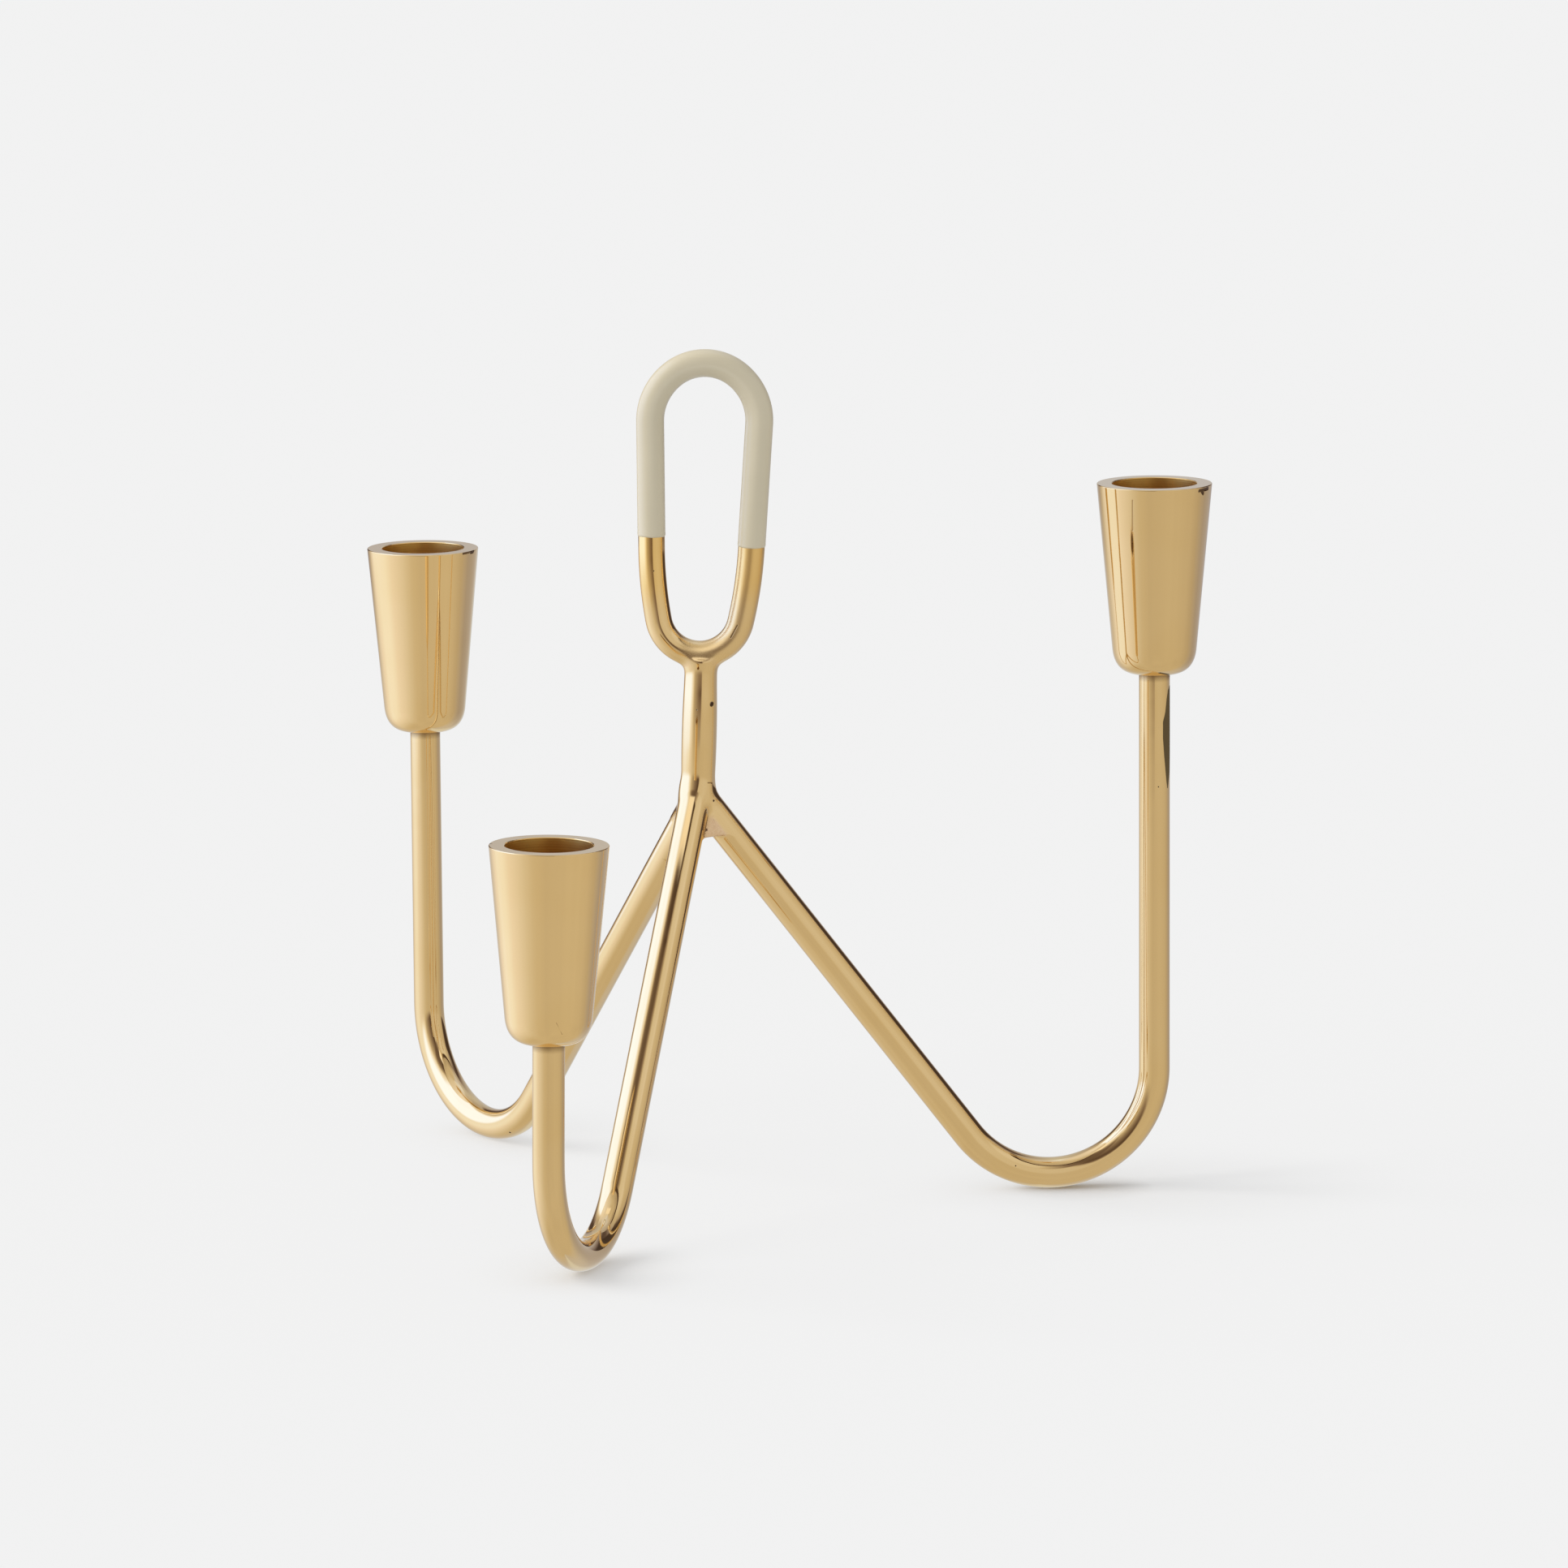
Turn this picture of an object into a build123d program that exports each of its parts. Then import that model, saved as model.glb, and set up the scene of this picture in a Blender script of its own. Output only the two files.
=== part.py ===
from build123d import *
import os
from math import sin, cos, tan, asin, atan2, sqrt, radians, degrees, pi

# Three-arm brass candelabra with an oval ring handle.
# Millimetres. +Z is up, the three bends stand on z = 0, and the origin is the
# middle of the overall box at floor level. The stem stands at (AXIS_X, AXIS_Y).

# ---------------------------------------------------------------- rods
ROD_D = 8.2                    # arm rod
RING_ROD_D = 7.0               # rod of the ring handle
COAT_T = 0.15                  # coating on the ring
ARMS = {                       # name: azimuth, upright radius, bend radius, hub height, rim height
    "high": (6.14, 121.77, 27.83, 109.26, 188.8),
    "mid": (126.11, 128.28, 29.32, 106.89, 160.1),
    "low": (251.66, 118.03, 28.47, 110.13, 115.0),
}
UPRIGHT_LEAN = {"high": 0.0, "mid": 0.0, "low": 0.74}   # degrees towards +X, hand-bent
LEAN_R = 400.0                 # slow bend that starts the lean
# ---------------------------------------------------------------- candle cups
RIM_D = 30.4
CUP_H = 50.7
CUP_FOOT_D = 22.3              # taper reaches this diameter at the corner
CUP_CORNER_H = 6.7             # height of the rounded bottom corner
CUP_FLAT_D = 9.6               # flat seat on the rod
BORE_D = 22.4                  # for a 7/8 in taper candle
BORE_DEPTH = 25.0
RIM_CHAMFER = 0.3
# ---------------------------------------------------------------- cup studs (M5, headless)
STUD_D = 5.0
STUD_IN_ROD = 9.0
STUD_IN_CUP = 8.0
STUD_CHAMFER = 0.5
HOLE_SPARE = 1.0               # hole runs this much past each stud end
# ---------------------------------------------------------------- ring handle
RING_LEAN = 1.92               # degrees towards +X
RING_X = 0.79                  # ring foot, from the stem axis
RING_Z0 = 146.0                # height of the leaning pivot
RING_TOP_Z = 222.95            # top of the centre line
RING_CROWN_R = 13.4            # bend over the crown
RING_CROWN_TURN = 37.2         # degrees each side
RING_TOP_R = 15.63             # bend of each shoulder
RING_LEG_TAPER = 2.07          # degrees, each leg leans in towards the foot
RING_LEG = 33.5                # length of the straight leg
RING_SIDE_R = 112.9            # slow curve under the straight leg
RING_SIDE_TURN = 9.7           # degrees
COAT_Z_LEFT = 176.65           # lower edge of the coating on each leg
COAT_Z_RIGHT = 174.55
# ---------------------------------------------------------------- stem
STEM_LEAN = 1.95               # degrees towards +X
STEM_X = 0.24                  # axis offset at the lower end
STEM_Z0 = 110.0
STEM_Z1 = 144.6
STEM_R_FOOT = 4.34
STEM_R_MID = 4.63              # slight belly
STEM_R_NECK = 4.30
STEM_MID_Z = 124.5
STEM_NECK_Z = 139.0
# ---------------------------------------------------------------- braze
HUB_BRAZE_Z = 97.4             # underside of the fill between the arms
HUB_BRAZE_TOP = 104.0
COLLAR_Z0 = 139.4              # braze collar between the stem and the ring
COLLAR_Z1 = 144.5
COLLAR_R = 7.2

R = ROD_D / 2
RR = RING_ROD_D / 2

# the stem's place: the middle of the overall box is the origin
xs = [ru * cos(radians(a)) for a, ru, *_ in ARMS.values()]
ys = [ru * sin(radians(a)) for a, ru, *_ in ARMS.values()]
AXIS_X = -(max(xs) + min(xs)) / 2
AXIS_Y = -(max(ys) + min(ys)) / 2

os.makedirs("parts", exist_ok=True)


def arm_points(az, ru, rb, zh, ztop):
    """Centre line in the arm's own upright plane, as (radius, height)."""
    zc = rb + R
    cx = ru - rb
    base = atan2(zc - zh, cx)
    length = sqrt(cx * cx + (zc - zh) ** 2)
    ang = base - asin(rb / length)
    lt = sqrt(length * length - rb * rb)
    t = (lt * cos(ang), zh + lt * sin(ang))
    a0 = atan2(t[1] - zc, t[0] - cx)
    mid = (cx + rb * cos(a0 / 2), zc + rb * sin(a0 / 2))
    back = (-9 * cos(ang), zh - 9 * sin(ang))
    return back, t, mid, (ru, zc)


def world(az, p):
    a = radians(az)
    return Vector(AXIS_X + p[0] * cos(a), AXIS_Y + p[0] * sin(a), p[1])


def wedge(a_from, a_to):
    """Upright sector about the stem axis."""
    far = 400
    pts = [(0, 0)]
    n = 3
    for i in range(n + 1):
        a = radians(a_from + (a_to - a_from) * i / n)
        pts.append((far * cos(a), far * sin(a)))
    return Pos(AXIS_X, AXIS_Y, -20) * extrude(make_face(Polyline(*pts, close=True)), 300)


# ---------------------------------------------------------------- stem
stem_prof = make_face(
    Polyline((0, STEM_Z1 - STEM_Z0), (0, 0), (STEM_R_FOOT, 0))
    + ThreePointArc(
        (STEM_R_FOOT, 0),
        (STEM_R_MID, STEM_MID_Z - STEM_Z0),
        (STEM_R_NECK, STEM_NECK_Z - STEM_Z0),
    )
    + Polyline(
        (STEM_R_NECK, STEM_NECK_Z - STEM_Z0),
        (STEM_R_NECK, STEM_Z1 - STEM_Z0),
        (0, STEM_Z1 - STEM_Z0),
    )
)
stem_at = Pos(AXIS_X + STEM_X, AXIS_Y, STEM_Z0) * Rot(0, STEM_LEAN, 0)
stem_full = stem_at * revolve(Plane.XZ * stem_prof, Axis.Z)

# ---------------------------------------------------------------- arms
arms = {}
arm_tubes = {}
seats = {}
names = list(ARMS)
azs = [ARMS[n][0] for n in names]
bounds = {
    "high": ((azs[2] - 360 + azs[0]) / 2, (azs[0] + azs[1]) / 2),
    "mid": ((azs[0] + azs[1]) / 2, (azs[1] + azs[2]) / 2),
    "low": ((azs[1] + azs[2]) / 2, (azs[2] + azs[0] + 360) / 2),
}
for name, dims in ARMS.items():
    az = dims[0]
    back, t, mid, u = [world(az, p) for p in arm_points(*dims)]
    lean = radians(UPRIGHT_LEAN[name])
    path = Line(back, t) + ThreePointArc(t, mid, u)
    if lean:
        half = u + Vector(LEAN_R * (1 - cos(lean / 2)), 0, LEAN_R * sin(lean / 2))
        u2 = u + Vector(LEAN_R * (1 - cos(lean)), 0, LEAN_R * sin(lean))
        path += ThreePointArc(u, half, u2)
        u = u2
    up = Vector(sin(lean), 0, cos(lean))
    rim = u + up * ((dims[4] - u.Z) / up.Z)
    top = rim - up * CUP_H
    path += Line(u, top)
    section = Plane(origin=back, z_dir=(t - back).normalized()) * Circle(R)
    tube = sweep(section, path=path)
    arm_tubes[name] = tube
    arm = tube & wedge(*bounds[name])
    arm -= stem_full
    seat_at = Pos(top.X, top.Y, top.Z) * Rot(0, UPRIGHT_LEAN[name], 0)
    seats[name] = seat_at
    arm -= seat_at * Cylinder(
        STUD_D / 2, STUD_IN_ROD + HOLE_SPARE, align=(Align.CENTER, Align.CENTER, Align.MAX)
    )
    arms[name] = arm

# ---------------------------------------------------------------- candle cups and their studs
cups = {}
studs = {}
# the wall's taper, from the rim down to the corner
corner_r_top = (CUP_FOOT_D) / 2
cup_prof = make_face(
    Polyline(
        (BORE_D / 2, CUP_H - BORE_DEPTH),
        (BORE_D / 2, CUP_H - RIM_CHAMFER),
        (BORE_D / 2 + RIM_CHAMFER, CUP_H),
        (RIM_D / 2 - RIM_CHAMFER, CUP_H),
        (RIM_D / 2, CUP_H - RIM_CHAMFER),
        (corner_r_top, CUP_CORNER_H),
    )
    + Bezier(
        (corner_r_top, CUP_CORNER_H),
        (corner_r_top - 0.42, CUP_CORNER_H - 4.6),
        (CUP_FLAT_D / 2 + 3.6, 0.15),
        (CUP_FLAT_D / 2, 0),
    )
    + Polyline(
        (CUP_FLAT_D / 2, 0),
        (STUD_D / 2, 0),
        (STUD_D / 2, STUD_IN_CUP + HOLE_SPARE),
        (0, STUD_IN_CUP + HOLE_SPARE),
        (0, CUP_H - BORE_DEPTH),
        (BORE_D / 2, CUP_H - BORE_DEPTH),
    )
)
cup_shape = revolve(Plane.XZ * cup_prof, Axis.Z)
stud_shape = Pos(0, 0, -STUD_IN_ROD) * Cylinder(
    STUD_D / 2, STUD_IN_ROD + STUD_IN_CUP, align=(Align.CENTER, Align.CENTER, Align.MIN)
)
stud_shape = chamfer(stud_shape.edges().filter_by(GeomType.CIRCLE), STUD_CHAMFER)
for name, seat in seats.items():
    cups[name] = seat * cup_shape
    studs[name] = seat * stud_shape

# ---------------------------------------------------------------- ring handle
be = radians(RING_LEG_TAPER)


def arc_from(p, h, r, turn):
    """Clockwise arc from p at heading h (clockwise from +X): middle, end, new heading."""
    c = (p[0] - r * sin(h), p[1] - r * cos(h))
    pts = [(c[0] + r * sin(h + turn * k), c[1] + r * cos(h + turn * k)) for k in (0.5, 1)]
    return pts[0], pts[1], h + turn


p_top = (0, RING_TOP_Z)
p_crown_mid, p_crown, h = arc_from(p_top, 0, RING_CROWN_R, radians(RING_CROWN_TURN))
p_top_mid, p_top_r, h = arc_from(p_crown, h, RING_TOP_R, pi / 2 + be - h)
p_leg = (p_top_r[0] - RING_LEG * sin(be), p_top_r[1] - RING_LEG * cos(be))
p_side_mid, p_side, h = arc_from(p_leg, h, RING_SIDE_R, radians(RING_SIDE_TURN))
foot_r = p_side[0] / sin(h)                           # bend at the foot, ends on the axis
p_foot_mid, p_foot, h = arc_from(p_side, h, foot_r, pi - h)
RING_FOOT_Z = p_foot[1]


def loc(p):
    return Vector(p[0], 0, p[1] - RING_Z0)


def neg(p):
    return (-p[0], p[1])


half_r = (
    ThreePointArc(loc(p_top), loc(p_crown_mid), loc(p_crown))
    + ThreePointArc(loc(p_crown), loc(p_top_mid), loc(p_top_r))
    + Line(loc(p_top_r), loc(p_leg))
    + ThreePointArc(loc(p_leg), loc(p_side_mid), loc(p_side))
    + ThreePointArc(loc(p_side), loc(p_foot_mid), loc(p_foot))
)
ring_at = Pos(AXIS_X + RING_X, AXIS_Y, RING_Z0) * Rot(0, RING_LEAN, 0)
sec = Plane(origin=loc(p_top), z_dir=(1, 0, 0))
ring_right = sweep(sec * Circle(RR), path=half_r)
ring_left = mirror(ring_right, about=Plane.YZ)
ring = ring_at * (ring_right + ring_left)

# coating: a sleeve over the top bend and most of both legs
RC = RR + COAT_T


def leg_at(z):
    return (p_top_r[0] - (p_top_r[1] - z) * tan(be), z)


coat_path = (
    Line(loc(neg(leg_at(COAT_Z_LEFT))), loc(neg(p_top_r)))
    + ThreePointArc(loc(neg(p_top_r)), loc(neg(p_top_mid)), loc(neg(p_crown)))
    + ThreePointArc(loc(neg(p_crown)), loc(p_top), loc(p_crown))
    + ThreePointArc(loc(p_crown), loc(p_top_mid), loc(p_top_r))
    + Line(loc(p_top_r), loc(leg_at(COAT_Z_RIGHT)))
)
d0 = loc(neg(p_top_r)) - loc(neg(leg_at(COAT_Z_LEFT)))
coat_sec = Plane(origin=loc(neg(leg_at(COAT_Z_LEFT))), z_dir=d0.normalized())
coat = ring_at * sweep(coat_sec * (Circle(RC) - Circle(RR)), path=coat_path)

# ---------------------------------------------------------------- stem, coped to the ring
stem = stem_full - ring

# ---------------------------------------------------------------- ring braze: flared collar
c0 = COLLAR_Z0 - STEM_Z0
c1 = COLLAR_Z1 - STEM_Z0
collar_prof = make_face(
    Polyline((0, c1 + 1.6), (0, c0), (STEM_R_NECK + 0.05, c0))
    + Bezier(
        (STEM_R_NECK + 0.05, c0),
        (STEM_R_NECK + 0.25, c0 + 2.6),
        (STEM_R_NECK + 0.9, c0 + 4.0),
        (COLLAR_R, c1),
    )
    + Polyline((COLLAR_R, c1), (COLLAR_R, c1 + 1.6), (0, c1 + 1.6))
)
collar = stem_at * revolve(Plane.XZ * collar_prof, Axis.Z)
# front and back follow the ring rod, a little fuller at the stem
blade = Pos(AXIS_X + RING_X, AXIS_Y, 143) * Box(30, 2 * RR - 0.6, 12)
core = Pos(AXIS_X + RING_X + 0.35, AXIS_Y, COLLAR_Z0) * Rot(0, STEM_LEAN, 0) * Cone(
    STEM_R_NECK + 0.35, RR + 0.1, 6.6, align=(Align.CENTER, Align.CENTER, Align.MIN)
)
ring_braze = (collar & blade) + (collar & core)
ring_braze = ring_braze - ring - stem_full

# ---------------------------------------------------------------- hub braze: fill between the arms
def arm_at(name, z):
    az, ru, rb, zh, zt = ARMS[name]
    b, t, *_ = arm_points(*ARMS[name])
    slope = (t[1] - zh) / t[0]
    return (z - zh) / slope


def tri(z, f):
    pts = []
    for n in names:
        a = radians(ARMS[n][0])
        r = max(arm_at(n, z) * f, 1.6)
        pts.append((AXIS_X + r * cos(a), AXIS_Y + r * sin(a)))
    return Plane.XY.offset(z) * make_face(Polyline(*pts, close=True))


hub_braze = loft([tri(HUB_BRAZE_Z, 1.0), tri(HUB_BRAZE_TOP, 1.0)])
hub_braze = hub_braze - arm_tubes["high"] - arm_tubes["mid"] - arm_tubes["low"] - stem_full

nodes = {
    "handle_ring": ring,
    "ring_coating": coat,
    "stem": stem,
    "arm_high": arms["high"],
    "arm_mid": arms["mid"],
    "arm_low": arms["low"],
    "candle_cup_high": cups["high"],
    "candle_cup_mid": cups["mid"],
    "candle_cup_low": cups["low"],
    "cup_stud_high": studs["high"],
    "cup_stud_mid": studs["mid"],
    "cup_stud_low": studs["low"],
    "hub_braze": hub_braze,
    "ring_braze": ring_braze,
}
for name, shape in nodes.items():
    print(name, len(shape.solids()), round(shape.volume, 1), shape.bounding_box())
    export_step(shape, f"parts/{name}.step")
print("stem axis", round(AXIS_X, 3), round(AXIS_Y, 3), "foot bend", round(foot_r, 2), "ring foot z", round(RING_FOOT_Z, 2))
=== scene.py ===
import math

import bmesh
import bpy
import numpy as np
from mathutils import Matrix, Vector


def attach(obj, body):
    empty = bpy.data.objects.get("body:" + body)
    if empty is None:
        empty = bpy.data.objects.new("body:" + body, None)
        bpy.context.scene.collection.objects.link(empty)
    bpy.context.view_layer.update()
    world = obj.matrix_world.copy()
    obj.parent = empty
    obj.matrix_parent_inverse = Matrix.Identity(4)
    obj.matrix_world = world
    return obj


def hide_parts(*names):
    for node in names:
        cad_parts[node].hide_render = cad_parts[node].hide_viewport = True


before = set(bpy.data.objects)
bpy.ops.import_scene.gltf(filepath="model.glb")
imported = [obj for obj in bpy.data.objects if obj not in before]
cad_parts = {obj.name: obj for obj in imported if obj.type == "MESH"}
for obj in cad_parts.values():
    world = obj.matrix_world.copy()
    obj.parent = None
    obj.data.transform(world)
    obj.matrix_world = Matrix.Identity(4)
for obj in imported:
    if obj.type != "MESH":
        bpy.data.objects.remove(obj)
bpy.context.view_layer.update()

MM = 0.001

# ------------------------------------------------------------------ sizes, in mm, as in the CAD
ROD_R = 4.1
RING_R = 3.5
COAT_R = 3.65
ARMS = {
    "high": (6.14, 121.77, 27.83, 109.26, 188.8, 0.0),
    "mid": (126.11, 128.28, 29.32, 106.89, 160.1, 0.0),
    "low": (251.66, 118.03, 28.47, 110.13, 115.0, 0.74),
}
LEAN_R = 400.0
CUP_H = 50.7
STUD_R = 2.5
HUB_CUT = 20.0        # the arms' own tubes start this far down their centre lines
STEM_CUT = 120.5
FOOT_CUT_Z = 135.5
FOOT_CUT_A = math.radians(62)

_x = [v[1] * math.cos(math.radians(v[0])) for v in ARMS.values()]
_y = [v[1] * math.sin(math.radians(v[0])) for v in ARMS.values()]
AXIS = np.array([-(max(_x) + min(_x)) / 2, -(max(_y) + min(_y)) / 2, 0.0])


def unit(v):
    v = np.asarray(v, float)
    return v / np.linalg.norm(v)


# ------------------------------------------------------------------ paths
def line_seg(p0, p1):
    return ("line", np.asarray(p0, float), np.asarray(p1, float))


def arc_seg(c, start, tangent, angle):
    c = np.asarray(c, float)
    u = np.asarray(start, float) - c
    r = np.linalg.norm(u)
    return ("arc", c, u / r, unit(tangent), r, angle)


def sample(segs, step_line=3.0, step_arc=0.9):
    """Points, tangents and lengths along the segments; joints are sampled once."""
    P, T, S = [], [], []
    s = 0.0
    for k, g in enumerate(segs):
        if g[0] == "line":
            L = np.linalg.norm(g[2] - g[1])
            n = max(2, int(round(L / step_line)))
            t = np.linspace(0, 1, n + 1)
            p = g[1] + (g[2] - g[1]) * t[:, None]
            d = np.repeat(unit(g[2] - g[1])[None], n + 1, 0)
            ss = s + t * L
        else:
            _, c, u, v, r, a = g
            L = r * a
            n = max(4, int(round(L / step_arc)))
            t = np.linspace(0, a, n + 1)
            p = c + r * (u * np.cos(t)[:, None] + v * np.sin(t)[:, None])
            d = -u * np.sin(t)[:, None] + v * np.cos(t)[:, None]
            ss = s + r * t
        s += L
        k0 = 0 if k == 0 else 1
        P.append(p[k0:]); T.append(d[k0:]); S.append(ss[k0:])
    return np.concatenate(P), np.concatenate(T), np.concatenate(S)


def frames(T, n0):
    """Unit normals and binormals along a path, carried from n0."""
    N = np.zeros_like(T)
    n = np.asarray(n0, float)
    for i, t in enumerate(T):
        n = unit(n - t * np.dot(n, t))
        N[i] = n
    return N, np.cross(T, N)


# ------------------------------------------------------------------ mesh helpers
def make_object(name, verts, faces, normals=None, uvs=None, mat=None, origin=None, attrs=None):
    """verts in mm. normals are one per vertex. uvs are one per face corner. origin, in mm, becomes the object's own place."""
    verts = np.asarray(verts, float)
    if origin is not None:
        verts = verts - np.asarray(origin, float)
    me = bpy.data.meshes.new(name)
    me.from_pydata((verts * MM).tolist(), [], faces)
    me.update()
    me.polygons.foreach_set("use_smooth", np.ones(len(me.polygons), bool))
    if uvs is not None:
        layer = me.uv_layers.new(name="UVMap")
        layer.data.foreach_set("uv", np.asarray(uvs, np.float32).ravel())
    if attrs:
        for key, val in attrs.items():
            at = me.attributes.new(key, "FLOAT", "POINT")
            at.data.foreach_set("value", np.asarray(val, np.float32))
    if normals is not None:
        me.normals_split_custom_set_from_vertices(np.asarray(normals, float).tolist())
    ob = bpy.data.objects.new(name, me)
    if origin is not None:
        ob.location = Vector(np.asarray(origin, float) * MM)
    bpy.context.scene.collection.objects.link(ob)
    if mat is not None:
        me.materials.append(mat)
    return ob


def grid_faces(nr, ns, closed=False, flip=False):
    """Quads joining nr rings of ns points. closed joins the last ring to the first."""
    f = []
    for i in range(nr if closed else nr - 1):
        a = i * ns
        b = ((i + 1) % nr) * ns
        for j in range(ns):
            k = (j + 1) % ns
            q = (a + j, a + k, b + k, b + j)
            f.append(q[::-1] if flip else q)
    return f


def shell_of_revolution(path_P, path_N, path_B, path_T, prof, ns, close_start=True, close_end=True):
    """Rings given as (index into path or centre, radius, normal along (radial, tangent)). Returns verts, normals."""
    a = np.linspace(0, 2 * np.pi, ns, endpoint=False)
    V, NN = [], []
    for P, N, B, T, r, nr, nt in prof:
        dirs = N[None] * np.cos(a)[:, None] + B[None] * np.sin(a)[:, None]
        V.append(P + dirs * r)
        NN.append(dirs * nr + T[None] * nt)
    return np.concatenate(V), np.concatenate(NN)


def loft(name, rings, ns, mat, uv_len=None, origin=None, cap_first=True, cap_last=True, attrs=None):
    """rings: list of (P, N, B, T, radius, normal_radial, normal_tangent). Closed by end fans where cap is set."""
    V, NN = shell_of_revolution(None, None, None, None, rings, ns)
    nr = len(rings)
    faces = grid_faces(nr, ns)
    s = uv_len if uv_len is not None else np.arange(nr, dtype=float)
    uvs = []
    for i in range(nr - 1):
        for j in range(ns):
            u0, u1 = j / ns, (j + 1) / ns
            uvs += [(u0, s[i]), (u1, s[i]), (u1, s[i + 1]), (u0, s[i + 1])]
    V = list(V); NN = list(NN)
    if cap_first:
        c = len(V); V.append(rings[0][0]); NN.append(-rings[0][3])
        for j in range(ns):
            faces.append((c, (j + 1) % ns, j)); uvs += [(0.5, s[0])] * 3
    if cap_last:
        c = len(V); V.append(rings[-1][0]); NN.append(rings[-1][3])
        b = (nr - 1) * ns
        for j in range(ns):
            faces.append((c, b + j, b + (j + 1) % ns)); uvs += [(0.5, s[-1])] * 3
    V = np.array(V)
    at = {k: fn(V) for k, fn in (attrs or {}).items()}
    return make_object(name, V, faces, np.array(NN), uvs, mat, origin, at)


def lathe(name, prof, ns, base, axis, mat, attrs=None):
    """prof: (radius, height, normal_r, normal_z) from the axis, outside first, back to the axis. base: foot of the axis in mm."""
    axis = unit(axis)
    n = unit(np.cross([0, 1, 0], axis))
    b = np.cross(axis, n)
    a = np.linspace(0, 2 * np.pi, ns, endpoint=False)
    V, NN, faces, rings = [], [], [], []
    lens = [0.0]
    for k in range(1, len(prof)):
        lens.append(lens[-1] + math.hypot(prof[k][0] - prof[k - 1][0], prof[k][1] - prof[k - 1][1]))
    for r, h, nr, nz in prof:
        if r < 1e-6:
            rings.append([len(V)])
            V.append(np.array([0, 0, h])); NN.append(np.array([0, 0, nz]))
        else:
            rings.append(list(range(len(V), len(V) + ns)))
            for t in a:
                V.append(np.array([r * math.cos(t), r * math.sin(t), h]))
                NN.append(np.array([nr * math.cos(t), nr * math.sin(t), nz]))
    uvs = []
    for k in range(len(rings) - 1):
        A, B = rings[k], rings[k + 1]
        for j in range(ns):
            j2 = (j + 1) % ns
            u0, u1 = j / ns, (j + 1) / ns
            if len(A) == 1 and len(B) == 1:
                continue
            if len(A) == 1:
                faces.append((A[0], B[j2], B[j])); uvs += [((u0 + u1) / 2, lens[k]), (u1, lens[k + 1]), (u0, lens[k + 1])]
            elif len(B) == 1:
                faces.append((A[j], A[j2], B[0])); uvs += [(u0, lens[k]), (u1, lens[k]), ((u0 + u1) / 2, lens[k + 1])]
            else:
                faces.append((A[j], A[j2], B[j2], B[j])); uvs += [(u0, lens[k]), (u1, lens[k]), (u1, lens[k + 1]), (u0, lens[k + 1])]
    V = np.array(V); NN = np.array(NN)
    M = np.stack([n, b, axis], 1)
    me_ob = make_object(name, V, faces, NN, uvs, mat, None, attrs)
    R = Matrix([list(M[0]) + [base[0] * MM], list(M[1]) + [base[1] * MM], list(M[2]) + [base[2] * MM], [0, 0, 0, 1]])
    me_ob.matrix_world = R
    return me_ob


def round_profile(corners, seg=5):
    """Turns (r, h, fillet) corners into profile points with analytic normals pointing to the right of travel."""
    pts = []
    n = len(corners)
    for i, (r, h, f) in enumerate(corners):
        p = np.array([r, h], float)
        if i == 0 or i == n - 1 or f <= 0:
            if i == 0:
                d = unit(np.array(corners[1][:2]) - p)
                pts.append((p, d))
            elif i == n - 1:
                d = unit(p - np.array(corners[-2][:2]))
                pts.append((p, d))
            else:
                d0 = unit(p - np.array(corners[i - 1][:2])); d1 = unit(np.array(corners[i + 1][:2]) - p)
                pts.append((p, d0)); pts.append((p, d1))
            continue
        d0 = unit(p - np.array(corners[i - 1][:2])); d1 = unit(np.array(corners[i + 1][:2]) - p)
        cosang = np.clip(np.dot(d0, d1), -1, 1)
        turn = math.acos(cosang)
        t = f * math.tan(turn / 2)
        a = p - d0 * t
        side = np.sign(d0[0] * d1[1] - d0[1] * d1[0])
        nrm = np.array([-d0[1], d0[0]]) * side
        c = a + nrm * f
        for k in range(seg + 1):
            ang = side * turn * k / seg
            ca, sa = math.cos(ang), math.sin(ang)
            v = -nrm * f
            q = c + np.array([v[0] * ca - v[1] * sa, v[0] * sa + v[1] * ca])
            d = np.array([d0[0] * ca - d0[1] * sa, d0[0] * sa + d0[1] * ca])
            pts.append((q, d))
    return [(q[0], q[1], d[1], -d[0]) for q, d in pts]


# ------------------------------------------------------------------ implicit surfaces
def smin(a, b, k):
    """Smooth union. It eases in, so no line shows on polished metal where the blend starts."""
    h = np.clip(1 - np.abs(a - b) / k, 0, 1)
    return np.minimum(a, b) - h ** 3 * k / 6


def smax(a, b, k):
    return -smin(-a, -b, k)


def seg_dist(p, a, b):
    ab = b - a
    t = np.clip(((p - a) @ ab) / (ab @ ab), 0, 1)
    return np.linalg.norm(p - a - t[..., None] * ab, axis=-1)


def gradient(f, p, e=0.01):
    g = np.stack([f(p + np.array(d) * e) - f(p - np.array(d) * e) for d in ((1, 0, 0), (0, 1, 0), (0, 0, 1))], -1) / (2 * e)
    return g


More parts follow.
